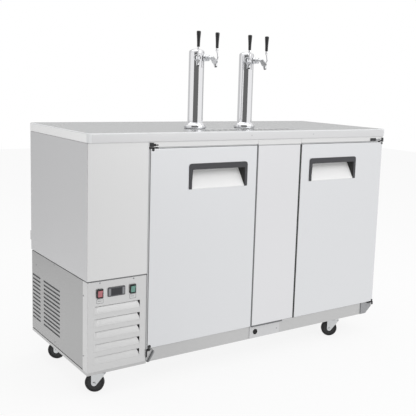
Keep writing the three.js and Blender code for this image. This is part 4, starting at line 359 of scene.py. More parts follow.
def stage_piece(name, bm, material, reflections_only=False):
    """Makes an object of the studio, which isn't part of the cooler."""
    mesh = bpy.data.meshes.new(name)
    bm.to_mesh(mesh)
    bm.free()
    mesh.materials.append(material)
    made = bpy.data.objects.new(name, mesh)
    scene.collection.objects.link(made)
    if reflections_only:
        made.visible_camera = made.visible_diffuse = made.visible_shadow = False
    made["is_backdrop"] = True


def card(name, from_angle, to_angle, distance, grey):
    """An upright curved card that shines in one grey."""
    paint = new_material(name + " grey card", "#808080", Roughness=1.0)
    tree = paint.node_tree
    light = add_node(tree, "ShaderNodeEmission", {"Color": (grey, grey, grey, 1), "Strength": 1.0})
    tree.links.new(light.outputs["Emission"], tree.nodes["Material Output"].inputs["Surface"])
    to_camera = math.atan2(CAMERA_PLACE.y, CAMERA_PLACE.x)
    bm = bmesh.new()
    foot = []
    for i in range(CARD_STEPS + 1):
        angle = to_camera + math.radians(from_angle + (to_angle - from_angle) * i / CARD_STEPS)
        foot.append(bm.verts.new((distance * math.cos(angle), distance * math.sin(angle), 0.0)))
    line = [bm.edges.new(pair) for pair in zip(foot, foot[1:])]
    raised = bmesh.ops.extrude_edge_only(bm, edges=line)["geom"]
    top = [v for v in raised if isinstance(v, bmesh.types.BMVert)]
    bmesh.ops.translate(bm, vec=(0, 0, CARD_TOP), verts=top)
    stage_piece(name, bm, paint, reflections_only=True)


floor_paint = new_material("white studio floor", "#F4F4F4", (0.85, 0.95, 2), Roughness=0.9,
                           Specular_IOR_Level=0.1)
tree = floor_paint.node_tree
glow = add_node(tree, "ShaderNodeEmission", {"Color": (1, 1, 1, 1), "Strength": 1.0})
shown = seen_by(tree, "Is Camera Ray", "Is Glossy Ray")
weight = add_node(tree, "ShaderNodeMath", {"operation": "MULTIPLY"}, {0: shown})
weight.inputs[1].default_value = FLOOR_GLOW
paint_and_glow = {"Fac": weight.outputs[0], 1: tree.nodes["Principled BSDF"].outputs["BSDF"],
                  2: glow.outputs["Emission"]}
mixed = add_node(tree, "ShaderNodeMixShader", {}, paint_and_glow)
tree.links.new(mixed.outputs["Shader"], tree.nodes["Material Output"].inputs["Surface"])
bm = bmesh.new()
bmesh.ops.create_grid(bm, x_segments=1, y_segments=1, size=FLOOR_HALF)
stage_piece("floor", bm, floor_paint)
for name, (from_angle, to_angle, distance, grey) in CARDS.items():
    card(name, from_angle, to_angle, distance, grey)
print("cards:", len(CARDS))


# %% [markdown]
# The CAD solids are faceted, so what shows most is made again with finer curves. Modifiers on
# the solids could smooth them, but they would round the flat sheet too. These functions spin a
# profile, sweep a tube, extrude an outline and skin rows of points.
# %% title: helpers for fine pieces
def place_new(bm, before, matrix, slot):
    """Moves the faces that are new in a mesh, and gives them a material slot."""
    faces = [f for f in bm.faces if f not in before]
    corners = list({v for f in faces for v in f.verts})
    bmesh.ops.transform(bm, matrix=matrix, verts=corners)
    for face in faces:
        face.material_index = slot


def add_lathe(bm, profile, matrix, steps, slot=0):
    """Spins a profile of (radius, height) in mm about Z and places it with a matrix."""
    before = set(bm.faces)
    points = [bm.verts.new((r * MM, 0, z * MM)) for r, z in profile]
    edges = [bm.edges.new(pair) for pair in zip(points, points[1:])]
    bmesh.ops.spin(bm, geom=points + edges, cent=(0, 0, 0), axis=(0, 0, 1), dvec=(0, 0, 0),
                   angle=2 * math.pi, steps=steps, use_merge=True, use_duplicate=False)
    place_new(bm, before, matrix, slot)


def smooth_line(points, steps):
    """A smooth curve through points of any dimension, with that many steps between two."""
    ends = [points[0]] + list(points) + [points[-1]]
    line = []
    for a, b, c, d in zip(ends, ends[1:], ends[2:], ends[3:]):
        for i in range(steps):
            t = i / steps
            line.append(tuple(0.5 * (2 * q + (r - p) * t + (2 * p - 5 * q + 4 * r - s) * t * t
                                     + (3 * q - p - 3 * r + s) * t ** 3) for p, q, r, s in zip(a, b, c, d)))
    return line + [tuple(points[-1])]


def add_tube(bm, points, radii, matrix, sides, slot=0):
    """Sweeps a circle of changing radius, in mm, along points that lie in the XZ plane."""
    before = set(bm.faces)
    rings = []
    for i, point in enumerate(points):
        a, b = points[max(i - 1, 0)], points[min(i + 1, len(points) - 1)]
        along = (Vector(b) - Vector(a)).normalized()
        across = Vector((0, 1, 0))
        upward = along.cross(across)
        ring = []
        for k in range(sides):
            angle = 2 * math.pi * k / sides
            offset = (across * math.cos(angle) + upward * math.sin(angle)) * radii[i]
            ring.append(bm.verts.new((Vector(point) + offset) * MM))
        rings.append(ring)
    for one, two in zip(rings, rings[1:]):
        for k in range(sides):
            bm.faces.new((one[k], one[(k + 1) % sides], two[(k + 1) % sides], two[k]))
    bm.faces.new(rings[0])
    bm.faces.new(list(reversed(rings[-1])))
    place_new(bm, before, matrix, slot)


def add_plate(bm, outline, front, back, edge=0.0, slot=0, matrix=Matrix()):
    """Extrudes an outline in the XZ plane from one y to another, in mm, and rounds its rims."""
    before = set(bm.faces)
    lid = bm.faces.new([bm.verts.new((x * MM, front * MM, z * MM)) for x, z in outline])
    moved = bmesh.ops.extrude_face_region(bm, geom=[lid])["geom"]
    bmesh.ops.translate(bm, vec=(0, (back - front) * MM, 0),
                        verts=[v for v in moved if isinstance(v, bmesh.types.BMVert)])
    far = next(f for f in moved if isinstance(f, bmesh.types.BMFace))
    bmesh.ops.recalc_face_normals(bm, faces=[f for f in bm.faces if f not in before])
    if edge:
        bmesh.ops.bevel(bm, geom=list(lid.edges) + list(far.edges), offset=edge * MM, segments=3,
                        profile=0.5, affect="EDGES", clamp_overlap=True, material=-1)
    place_new(bm, before, matrix, slot)


def rectangle(left, foot, right_end, top):
    """The corners of an upright rectangle, in mm."""
    return [(left, foot), (right_end, foot), (right_end, top), (left, top)]


def rounded(left, foot, right_end, top, radius, steps=6):
    """The outline of an upright rectangle with rounded corners, in mm."""
    points = []
    for x, z, start in ((right_end - radius, top - radius, 0), (left + radius, top - radius, 90),
                        (left + radius, foot + radius, 180), (right_end - radius, foot + radius, 270)):
        for k in range(steps + 1):
            angle = math.radians(start + 90 * k / steps)
            points.append((x + radius * math.cos(angle), z + radius * math.sin(angle)))
    return points


def grid_faces(bm, rows, slot_of_column=None):
    """Skins rows of points in mm. Rows that run to the right, each over the last, face the front."""
    points = [[bm.verts.new(Vector(p) * MM) for p in row] for row in rows]
    for one, two in zip(points, points[1:]):
        for k in range(len(one) - 1):
            face = bm.faces.new((one[k], one[k + 1], two[k + 1], two[k]))
            face.material_index = slot_of_column[k] if slot_of_column else 0


# %% [markdown]
# A finished piece rides on the body that moves it and may stand in for a CAD node. It could be
# shaded smooth all over, but sheet metal would then look inflated. Edges past an angle stay
# sharp, and weighted normals keep the flat faces flat beside their rounded edges.
# %% title: helpers that finish a piece
MERGE = 0.001 * MM
FLAT_CORNER, SHARP_CORNER = math.radians(0.5), math.radians(30)


def box_mm(node):
    """The lowest and highest corners of a CAD node in mm."""
    low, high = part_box(node)
    return low / MM, high / MM


def add_piece(name, bm, materials, body, replaces=(), angle=35, sheet=0.0):
    """Makes a smooth-shaded piece that rides on a CAD body and may stand for CAD nodes.

    An open skin whose faces look outwards gets a sheet thickness in mm, on its inner side."""
    bmesh.ops.remove_doubles(bm, verts=bm.verts, dist=MERGE)
    if not sheet:
        bmesh.ops.recalc_face_normals(bm, faces=bm.faces)
    mesh = bpy.data.meshes.new(name)
    bm.to_mesh(mesh)
    bm.free()
    for material in materials:
        mesh.materials.append(material)
    mesh.shade_smooth()
    mesh.set_sharp_from_angle(angle=math.radians(angle))
    made = bpy.data.objects.new(name, mesh)
    scene.collection.objects.link(made)
    if sheet:
        solid = made.modifiers.new("sheet", "SOLIDIFY")
        solid.thickness, solid.offset = sheet * MM, -1.0
    weighted = made.modifiers.new("weighted normals", "WEIGHTED_NORMAL")
    weighted.keep_sharp = True
    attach(made, body)
    if replaces:
        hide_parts(*replaces)
    return made


def cad_copy(node, *cuts):
    """A CAD solid as one merged mesh, without what the cuts take off.

    A cut is an axis, a level in mm, and 1 or -1 for the side that goes."""
    bm = bmesh.new()
    bm.from_mesh(nodes[node].data)
    bmesh.ops.remove_doubles(bm, verts=bm.verts, dist=MERGE)
    for axis, level, gone in cuts:
        across = Vector([float(axis == one) for one in "xyz"])
        cut = bmesh.ops.bisect_plane(bm, geom=bm.verts[:] + bm.edges[:] + bm.faces[:],
                                     plane_co=across * level * MM, plane_no=across * gone, clear_outer=True)
        bmesh.ops.holes_fill(bm, edges=[e for e in cut["geom_cut"] if isinstance(e, bmesh.types.BMEdge)])
    return bm


def rounded_copy(node, edge, body, materials=None, slot_of=None, cuts=()):
    """A CAD solid with its edges rounded to a radius in mm; slot_of picks a material per face."""
    bm = cad_copy(node, *cuts)
    bmesh.ops.dissolve_limit(bm, angle_limit=FLAT_CORNER, verts=bm.verts, edges=bm.edges)
    sharp = [e for e in bm.edges if len(e.link_faces) == 2 and e.calc_face_angle() > SHARP_CORNER]
    bmesh.ops.bevel(bm, geom=sharp, offset=edge * MM, segments=3, profile=0.5, affect="EDGES",
                    clamp_overlap=True, material=-1)
    for face in bm.faces:
        face.material_index = slot_of(face) if slot_of else 0
    finish = materials or [nodes[node].data.materials[0]]
    return add_piece(node + "_fine", bm, finish, body, (node,))


def block_piece(name, materials, blocks):
    """A piece on the cabinet made of blocks, each with its two corners, rim radius and slot."""
    bm = bmesh.new()
    for low, high, edge, slot in blocks:
        add_plate(bm, rectangle(low[0], low[2], high[0], high[2]), low[1], high[1], edge, slot)
    made = add_piece(name, bm, materials, "cabinet")
    print(name, "faces:", len(made.data.polygons))


# %% [markdown]
# Sheet metal is bent, so its outer corners are round, and those radii catch a thin line of
# light. The panels could be drawn anew, but the CAD already has every hole and step, so each is
# copied and its sharp edges are bevelled. The worktop has four finishes, one for each way that
# a face looks: they differ in roughness, and their tones are painted shade on the top and
# painted light on the bent edge and the left end. The centre panel is cut to the sheet that
# shows between the doors.
# %% title: rounded sheet metal
# Each piece's body and the radius of its edges
SHEETS = {
    "base_frame": ("cabinet", 0.5), "controller": ("cabinet", 0.8), "drip_tray": ("cabinet", 0.4),
    "power_switch_body": ("cabinet", 0.5), "light_switch_body": ("cabinet", 0.5),
    "power_rocker": ("power_rocker", 0.6), "light_rocker": ("light_rocker", 0.6),
}
WORKTOP_EDGE, PANEL_EDGE = 0.5, 1.2
CENTRE_LEFT, CENTRE_FOOT, CENTRE_RIGHT, CENTRE_TOP = 11.5, 162.5, 247.0, 970.8


def worktop_slot(face):
    """0 for the top, 1 for its bent edges and corners, 3 for the left end, 2 for the rest."""
    x, y, z = face.normal
    if z > 0.97:
        return 0
    if z > 0.15 or (abs(x) > 0.2 and abs(y) > 0.2):
        return 1
    return 3 if x < -0.7 else 2


for name, (body, edge) in SHEETS.items():
    fine_piece = rounded_copy(name, edge, body)
    print(name, "faces:", len(fine_piece.data.polygons))
# The slots paint light and shade by the way a face looks: a darker top, a paler bent edge and a near-white
# left end
rounded_copy("worktop", WORKTOP_EDGE, "cabinet", [top_steel, roll_steel_painted_light, apron_steel, end_steel_painted_light],
             worktop_slot)
centre_cuts = (("x", CENTRE_LEFT, -1), ("x", CENTRE_RIGHT, 1), ("z", CENTRE_FOOT, -1), ("z", CENTRE_TOP, 1))
rounded_copy("centre_panel", PANEL_EDGE, "cabinet", cuts=centre_cuts)
# The shell's front faces take the front steel and all others the end steel, so its end is painted a shade
# darker
rounded_copy("cabinet_shell", PANEL_EDGE, "cabinet", [side_steel, shell_steel],
             lambda face: 1 if face.normal.y < -0.7 else 0)

# %% [markdown]
# The doors are foamed leaves that hang in narrow gaps. Their edges have a light plastic cap,
# and its pale grey is painted light in the gaps, so that the gaps read as grey lines and not as
# black ones. Each handle is a dark moulded tub with a bright plate in it: a scoop that curves
# back and up under the bar, narrower at its deep end, between the tub's dark side walls. A
# boolean could carve it, but rows of points along one smooth curve give it clean, even faces.
# %% title: doors and handles
DOORS = ("left_door", "right_door")
LEAF_EDGE, TUB_EDGE = 0.8, 0.5
# What stands further out from the leaf than this is the tub's rim
TUB_RIM = 1.0
PLATE_SHEET, SCOOP_TAPER, SCOOP_LIP, SCOOP_WALL, SCOOP_STEPS = 1.2, 10.0, 3.0, 22.0, 12
# Where the point stands that pulls the curve, as shares of the scoop's depth and height
SCOOP_PULL = (0.45, 0.36)


def pull_plate(door):
    """The bright scoop under a handle's bar, narrower at its deep end, between dark side walls."""
    low, high = box_mm(door + "_pull_plate")
    depth, height = high.y - low.y - PLATE_SHEET, high.z - low.z
    curve = [(0.0, 0.0)]
    for i in range(SCOOP_STEPS + 1):
        t = i / SCOOP_STEPS
        start, pull, end = (1 - t) ** 2, 2 * t * (1 - t), t * t
        curve.append((pull * SCOOP_PULL[0] * depth + end * depth,
                      start * SCOOP_LIP + pull * SCOOP_PULL[1] * height + end * (height - SCOOP_WALL)))
    rows = []
    for y, z in curve + [(depth, height)]:
        narrow = SCOOP_TAPER * y / depth
        rows.append([(low.x, low.y, low.z + z), (low.x + narrow, low.y + y, low.z + z),
                     (high.x - narrow, low.y + y, low.z + z), (high.x, low.y, low.z + z)])
    bm = bmesh.new()
    grid_faces(bm, rows, (1, 0, 1))
    return add_piece(door + "_pull_plate_fine", bm, [plate_steel_painted_bright, well_abs], door, (door + "_pull_plate",),
                     sheet=PLATE_SHEET)


for door in DOORS:
    # The leaf's edge faces take the pale cap, painted light in the door gaps
    rounded_copy(door + "_leaf", LEAF_EDGE, door, [front_steel, edge_cap_painted_light],
                 lambda face: 1 if abs(face.normal.y) < 0.5 else 0)
    rim_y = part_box(door + "_leaf")[0].y - TUB_RIM * MM
    rounded_copy(door + "_handle_tub", TUB_EDGE, door, [trim_abs, well_abs],
                 lambda face: 0 if face.calc_center_median().y < rim_y else 1)
for door in DOORS:
    print(door, "plate faces:", len(pull_plate(door).data.polygons))

# %% [markdown]
# Each door turns on two pins. The upper ones hang from black brackets that thin out inwards,
# and the lower ones stand on small steel gussets, with black bushes and, at the left door, a
# folded rib. Curved castings would need sculpting, but these are cut from plate, so extruded
# outlines and a spun pin do for every part. One table holds the outlines, counted inwards from
# each door's hinge edge, so the right door's run the other way.
# %% title: hinges
# The front of the base's own sheet, and of the plate round its drain
BASE_FACE, DRAIN_PLATE_FACE = -287.5, -288.7
PIN_RADIUS, BUSH_RADIUS, PIN_CHAMFER, PIN_SIDES = 4.5, 7.3, 0.8, 32
# The height of each pin's tip, its radius there, and where its bush starts and ends
PINS = {"upper": (947.2, 4.3, 971.8, 973.5), "lower": (184.0, 4.2, 159.6, 158.0)}
# A part's outline, its front and back in y, the radius of its rims and its slot
UPPER_PLATE, UPPER_STEP = (-299.0, -278.2, 0.4, 0), (-304.0, -301.2, 0.6, 0)
HINGE_PARTS = {
    "left_door_upper": (
        (rectangle(0, 974, 26, 977), *UPPER_PLATE), (rectangle(-5.5, 979, 12, 995), *UPPER_STEP),
        (rectangle(12, 981, 21, 990.5), *UPPER_STEP), (rectangle(21, 983, 32, 987.5), *UPPER_STEP)),
    "right_door_upper": (
        (rectangle(0, 974, 26, 977), *UPPER_PLATE), (rectangle(-3.5, 972.4, 8, 992), *UPPER_STEP),
        (rectangle(8, 977, 14, 981), *UPPER_STEP)),
    "left_door_lower": (
        ([(0.5, 103), (7, 103), (29.9, 138), (29.9, 146), (25.5, 146), (23.5, 141)],
         -303.0, BASE_FACE, 0.5, 2),
        ([(0.1, 106), (3.5, 106), (26.5, 142), (26.5, 150), (0.1, 150)], -296.0, BASE_FACE, 0.4, 3),
        (rectangle(-7.1, 125, -1.9, 158), -303.0, -289.0, 0.6, 1),
        (rectangle(0.1, 148, 12.5, 157), -301.0, BASE_FACE, 0.6, 1)),
    "right_door_lower": (
        ([(67.8, 98.4), (36, 98.4), (27, 105), (-3.6, 131), (-3.6, 157.5), (67.8, 157.5)],
         -290.5, -287.4, 0.4, 0),
        (rectangle(-3.6, 154.4, 34, 158.7), -302.6, BASE_FACE, 0.4, 1),
        (rectangle(-3.6, 143, 7, 158.6), -303.6, -301.0, 0.6, 1)),
}
# The materials of a hinge's slots, and the slot of its pin
HINGE_FINISH = {"upper": ([black_enamel], 0),
                "lower": ([hinge_grey, black_enamel, dark_hinge, base_steel], 1)}
pin_places = {joint["name"].replace("_swing", ""): Vector(joint["pos_m"]) for joint in frame["joints"]
              if joint["name"].endswith("_door_swing")}


def from_edge(door, outline):
    """Places an outline that counts inwards from a door's hinge edge, in mm."""
    low, high = box_mm(door + "_leaf")
    if door == "left_door":
        return [(low.x + inwards, z) for inwards, z in outline]
    return [(high.x - inwards, z) for inwards, z in outline]


def add_pin(bm, door, level, slot):
    """A hinge pin with a chamfered tip and its bush, on the door's own axis."""
    tip, tip_radius, collar, foot = PINS[level]
    shoulder = tip + math.copysign(PIN_CHAMFER, collar - tip)
    profile = [(0, tip), (tip_radius, tip), (PIN_RADIUS, shoulder), (PIN_RADIUS, collar),
               (BUSH_RADIUS, collar), (BUSH_RADIUS, foot), (0, foot)]
    axis = pin_places[door]
    add_lathe(bm, profile, Matrix.Translation((axis.x, axis.y, 0)), PIN_SIDES, slot)


def hinge(door, level):
    """The fixed half of a door's upper or lower hinge, which stays on the cabinet."""
    materials, pin_slot = HINGE_FINISH[level]
    bm = bmesh.new()
    for outline, front, back, edge, slot in HINGE_PARTS[door + "_" + level]:
        add_plate(bm, from_edge(door, outline), front, back, edge, slot)
    add_pin(bm, door, level, pin_slot)
    node = door + "_" + level + "_hinge"
    add_piece(node + "_fine", bm, materials, "cabinet", (node,))


print("hinge pins at", {door: [round(v, 4) for v in place] for door, place in pin_places.items()})

# %% [markdown]
# Black caps close the doors' folded corners on the hinge side: domes on the left door and flat
# tabs on the right one. A dark triangle fills the corner between each handle's bar and its
# plate. They are small and plain, so a spun dome and extruded outlines are enough. They ride on
# the doors, and the hinges that are made with them stay on the cabinet.
# %% title: corner caps, with the hinges
TO_FRONT = Matrix.Rotation(math.pi / 2, 4, "X")
# Each cap's place inwards from the hinge edge, its height, and its width as a share of the dome
CAPS = ((10.5, 967.0, 1.0), (7.8, 167.4, 1.25))
# The dome's radius and how far it stands out, and the tab's ends and its faces in y
CAP_DOME, DOME_SIDES = ((0, 3.6), (3.4, 3.2), (5.2, 1.8), (5.7, 0.2)), 28
TAB_NEAR, TAB_FAR, TAB_DROP, TAB_RISE = 0.2, 6.5, 7.0, 3.0
TAB_FRONT, TAB_BACK, TAB_EDGE = -303.5, -300.9, 0.8
# The triangle's size, how far it laps over the plate's end, and how far it stands below the tub's top
CORNER_WIDTH, CORNER_HEIGHT, CORNER_LAP, CORNER_DROP = 6.0, 82.0, 2.0, 16.0
CORNER_FRONT, CORNER_BACK, CORNER_EDGE = -303.3, -301.2, 0.2


def corner_caps(door):
    """The small black pieces on a door's front."""
    bm = bmesh.new()
    face_y = box_mm(door + "_leaf")[0].y
    for inwards, z, wide in CAPS:
        if door == "left_door":
            [(x, z)] = from_edge(door, [(inwards, z)])
            dome = [(r * wide, out) for r, out in CAP_DOME]
            add_lathe(bm, dome, Matrix.Translation(Vector((x, face_y, z)) * MM) @ TO_FRONT, DOME_SIDES)
        else:
            tab = from_edge(door, rectangle(TAB_NEAR, z - TAB_DROP, TAB_FAR, z + TAB_RISE))
            add_plate(bm, tab, TAB_FRONT, TAB_BACK, TAB_EDGE)
    x = box_mm(door + "_pull_plate")[0].x - CORNER_LAP
    z = box_mm(door + "_handle_tub")[1].z - CORNER_DROP
    triangle = [(x, z), (x + CORNER_WIDTH, z), (x, z - CORNER_HEIGHT)]
    add_plate(bm, triangle, CORNER_FRONT, CORNER_BACK, CORNER_EDGE, 1)
    return add_piece(door + "_corner_caps", bm, [black_abs, trim_abs], door)


for door in DOORS:
    for level in HINGE_FINISH:
        hinge(door, level)
    print(door, "cap faces:", len(corner_caps(door).data.polygons))

# %% [markdown]
# Left open, every gap round the doors and the centre panel would look like a black hole. So
# strips lie in them whose tones are painted light and shade: light grey ones beside and over the
# doors and over the panel are painted light, and dark grey ones at the panel's left and foot and
# a black one at its right are painted shade. A narrow header stands over the panel, a lighter
# plate lies round the drain, and the right door's bracket reaches further in along the header.
# Bent sheet could be swept for them, but they show only their faces, so plain blocks do. Each is
# given by its lowest and highest corner, the radius of its rims and its slot.
# %% title: gap strips, header and drain plate
BLOCK_PIECES = {
    "header_bracket": ([black_enamel, hinge_grey], (
        ((691, -303.0, 977), (728, -301.2, 991), 1.5, 0),
        ((730, -302.5, 978), (741, -301.2, 986), 0.6, 1),
        ((746, -302.5, 979), (760, -301.2, 987), 0.6, 1))),
    # In order: beside the left door's hinges, between it and the centre panel, between that and the
    # right door, over the left door, the right door and the panel, and under the panel
    "gap_strips": ([gap_strip_painted_light, gap_strip_painted_shade, black_abs], (
        ((-521.8, -300.2, 111), (-517.0, -298.6, 970), 0.2, 0),
        ((6.0, -300.0, 161), (11.2, -296, 970), 0.2, 1),
        ((247.3, -300.0, 161), (256.4, -296, 970), 0.2, 2),
        ((-480, -300.0, 972.4), (4.4, -298, 977.8), 0.2, 0),
        ((257.2, -300.0, 972.4), (745, -298, 977.8), 0.2, 0),
        ((9.2, -300.4, 971.2), (252.3, -298, 974.8), 0.2, 0),
        ((12, -299.5, 154.8), (186, -297, 162.2), 0.2, 1))),
    "centre_header": ([shell_steel], (((9.2, -301.0, 974.9), (252.3, -298, 997.4), 0.4, 0),)),
    "drain_access_plate": ([base_steel, side_steel], (
        ((186.2, -301.0, 154.6), (CENTRE_RIGHT, -297, 162.3), 0.2, 0),
        ((9, DRAIN_PLATE_FACE, 98.6), (180, BASE_FACE, 154.4), 0.4, 1))),
}
for name, (materials, blocks) in BLOCK_PIECES.items():
    block_piece(name, materials, blocks)

# %% [markdown]
# A louvre is torn and pressed inwards: it leaves the panel at its foot, stands deepest at its
# top and right end, and runs out flush at its left end. The sheet has holes for it and for the
# three controls. Booleans could cut them, but a sheet laid out in strips between all the edges
# needs none, and each louvre is skinned in its own hole.
# %% title: louvred panel
grille_low, grille_high = box_mm("grille_panel")
FACE = grille_low.y
PANEL_SHEET, PANEL_GAP, PANEL_BEND, PANEL_RETURN = 1.6, 5.5, 3.0, 42.0
LOUVRE_COUNT, LOUVRE_LEFT, LOUVRE_RIGHT, LOUVRE_TOP = 5, -749.0, -551.0, 370.5
LOUVRE_PITCH, LOUVRE_HEIGHT, LOUVRE_DEPTH, LOUVRE_SLIT = 50.4, 32.0, 8.0, 2.4
LOUVRE_FADE, LOUVRE_TEAR, TEAR_FROM, JOIN = 22.0, 9.0, 0.4, 0.02
# The louvre's depth grows with the height from its foot, raised to this power
LOUVRE_ROWS, FADE_STEPS, LOUVRE_POWER = 12, 8, 1.2
CONTROL_INSET = 3.0
panel_top = grille_high.z - PANEL_GAP


def add_louvre(bm, left, foot, right_end, top):
    """One pressed louvre: rows from its foot to its free edge, each from left to right."""
    rows = []
    for k in range(LOUVRE_ROWS + 1):
        t = k / LOUVRE_ROWS
        end = right_end - JOIN - LOUVRE_TEAR * max(0.0, (t - TEAR_FROM) / (1 - TEAR_FROM))
        row = []
        for x in [left + JOIN + LOUVRE_FADE * i / FADE_STEPS for i in range(FADE_STEPS + 1)] + [end]:
            share = min((x - left) / LOUVRE_FADE, 1.0)
            share = share * share * (3 - 2 * share)
            row.append((x, FACE + LOUVRE_DEPTH * share * t ** LOUVRE_POWER,
                        foot + JOIN + t * (top - foot - JOIN - LOUVRE_SLIT * share)))
        rows.append(row)
    grid_faces(bm, rows)


louvres = [(LOUVRE_LEFT, LOUVRE_TOP - i * LOUVRE_PITCH - LOUVRE_HEIGHT, LOUVRE_RIGHT,
            LOUVRE_TOP - i * LOUVRE_PITCH) for i in range(LOUVRE_COUNT)]
holes = list(louvres)
for name in ("power_switch_body", "controller", "light_switch_body"):
    low, high = box_mm(name)
    holes.append((low.x + CONTROL_INSET, low.z + CONTROL_INSET,
                  high.x - CONTROL_INSET, high.z - CONTROL_INSET))
xs = sorted({grille_low.x + PANEL_BEND, grille_high.x} | {h[0] for h in holes} | {h[2] for h in holes})
zs = sorted({grille_low.z, panel_top} | {h[1] for h in holes} | {h[3] for h in holes})
bm = bmesh.new()
for x0, x1 in zip(xs, xs[1:]):
    for z0, z1 in zip(zs, zs[1:]):
        middle_x, middle_z = (x0 + x1) / 2, (z0 + z1) / 2
        if not any(h[0] < middle_x < h[2] and h[1] < middle_z < h[3] for h in holes):
            grid_faces(bm, [[(x0, FACE, z0), (x1, FACE, z0)], [(x0, FACE, z1), (x1, FACE, z1)]])
bend = [(grille_low.x + PANEL_BEND * (1 - math.sin(a)), FACE + PANEL_BEND * (1 - math.cos(a)))
        for a in [math.radians(15 * i) for i in range(6, -1, -1)]]
grid_faces(bm, [[(x, y, z) for x, y in [(grille_low.x, FACE + PANEL_RETURN)] + bend] for z in zs])
for louvre in louvres:
    add_louvre(bm, *louvre)
grille = add_piece("grille_panel_fine", bm, [louvre_steel], "cabinet", ("grille_panel",), 25,
                   PANEL_SHEET)
print("panel faces:", len(grille.data.polygons), "louvres:", len(louvres))

# %% [markdown]
# The panel and the cover hang a little below the upper body, and a mid grey strip in the gap
# between them is painted shade, with a black seal at the cover's foot. A dust screen stands
# behind the cover's slots. New plates could be drawn for all of them, but the cover's many slots
# are in the CAD already, so it is a copy that is cut shorter at its top and foot, and the rest are
# blocks.
# %% title: cover and seals of the bay
cover_low, cover_high = box_mm("bay_cover")
BAY_STRIP_LAP, BAY_STRIP_GAP, SHADE_STRIP_SHEET, BAY_STRIP_BACK, COVER_RISE = 2.0, 0.2, 4.0, 8.0, 4.0
# How far in from the left end the foot seal and the screen start and stop
FOOT_SEAL, SCREEN = (2.0, 5.0), (2.2, 3.0)
# The screen's extent in y and z
SCREEN_FRONT, SCREEN_BACK, SCREEN_FOOT, SCREEN_TOP = -40, 300, 158, 374
shade_strip_foot, shade_strip_top = panel_top - BAY_STRIP_LAP, grille_high.z - BAY_STRIP_GAP
shade_strip_x, shade_strip_y, cover_foot = grille_low.x + SHADE_STRIP_SHEET, FACE + SHADE_STRIP_SHEET, cover_low.z + COVER_RISE
bay_strip_end = cover_high.y - BAY_STRIP_BACK
# Mid grey strips in the gap under the upper body: painted shade
block_piece("bay_top_seal", [step_strip_painted_shade], (
    ((shade_strip_x, shade_strip_y, shade_strip_foot), (grille_high.x, shade_strip_y + SHADE_STRIP_SHEET, shade_strip_top), 0, 0),
    ((shade_strip_x, shade_strip_y + SHADE_STRIP_SHEET, shade_strip_foot), (shade_strip_x + SHADE_STRIP_SHEET, bay_strip_end, shade_strip_top), 0, 0)))
# The cover's dark grey tone is painted shade on the left end
cover = add_piece("bay_cover_fine", cad_copy("bay_cover", ("z", panel_top, 1), ("z", cover_foot, -1)),
                  [cover_steel_painted_shade], "cabinet", ("bay_cover",))
print("cover faces:", len(cover.data.polygons))
block_piece("bay_foot_seal", [black_abs], (
    ((grille_low.x + FOOT_SEAL[0], cover_low.y, cover_low.z + BAY_STRIP_GAP),
     (grille_low.x + FOOT_SEAL[1], bay_strip_end, cover_foot + BAY_STRIP_LAP), 0, 0),))
block_piece("bay_side_screen", [screen_mesh], (
    ((grille_low.x + SCREEN[0], SCREEN_FRONT, SCREEN_FOOT),
     (grille_low.x + SCREEN[1], SCREEN_BACK, SCREEN_TOP), 0, 0),))

# %% [markdown]
# The controller has a dark window with a grey band at each side, and a blank label with a grey
# border and one bar lies under each switch. A picture could be laid on them, but thin plates
# with rounded corners catch the light as real ones do.
# %% title: controller window and labels
# The window's and the bands' left and right ends, as shares of the controller's width
WINDOW_ENDS, BAND_ENDS = (0.22, 0.78), ((0.05, 0.16), (0.84, 0.95))
WINDOW_INSET, WINDOW_RADIUS, BAND_INSET, BAND_RADIUS = 4.5, 2.0, 5.0, 1.5
# Front and back from the controller's face, and the radius of the rims
WINDOW_PLATE, BAND_PLATE = (0.2, 2.0, 0.2), (-0.5, 1.0, 0.4)
LABEL_SHIFT, LABEL_DROP = 1.0, 12.0
# A label's layers: left, foot, right, top, corner radius, how far front and back stand out, slot
LABEL_LAYERS = ((-14, -9.5, 14, 9.5, 3, 0.25, 0.02, 1), (-12.6, -8.1, 12.6, 8.1, 2, 0.4, 0.2, 0),
                (-9, -0.8, 6, 0.8, 0.7, 0.5, 0.3, 1))
low, high = box_mm("controller")
width, height = high.x - low.x, high.z - low.z


def add_face_plate(bm, ends, inset, radius, plate, slot):
    """A plate on the controller's face between two shares of its width."""
    left, right_end = (low.x + share * width for share in ends)
    front, back, edge = plate
    outline = rounded(left, low.z + inset, right_end, high.z - inset, radius)
    add_plate(bm, outline, low.y + front, low.y + back, edge, slot)


bm = bmesh.new()
add_face_plate(bm, WINDOW_ENDS, WINDOW_INSET, WINDOW_RADIUS, WINDOW_PLATE, 0)
for ends in BAND_ENDS:
    add_face_plate(bm, ends, BAND_INSET, BAND_RADIUS, BAND_PLATE, 1)
add_piece("controller_window", bm, [dark_glass, band_grey], "cabinet")
bm = bmesh.new()
for switch in ("power_switch_body", "light_switch_body"):
    low, high = box_mm(switch)
    x, z = (low.x + high.x) / 2 + LABEL_SHIFT, low.z - LABEL_DROP
    for left, foot, right_end, top, radius, front, back, slot in LABEL_LAYERS:
        layer = rounded(x + left, z + foot, x + right_end, z + top, radius)
        add_plate(bm, layer, FACE - front, FACE - back, 0, slot)
add_piece("switch_labels", bm, [label_film, label_ink], "cabinet")
print("controller in mm:", round(width, 1), round(height, 1))

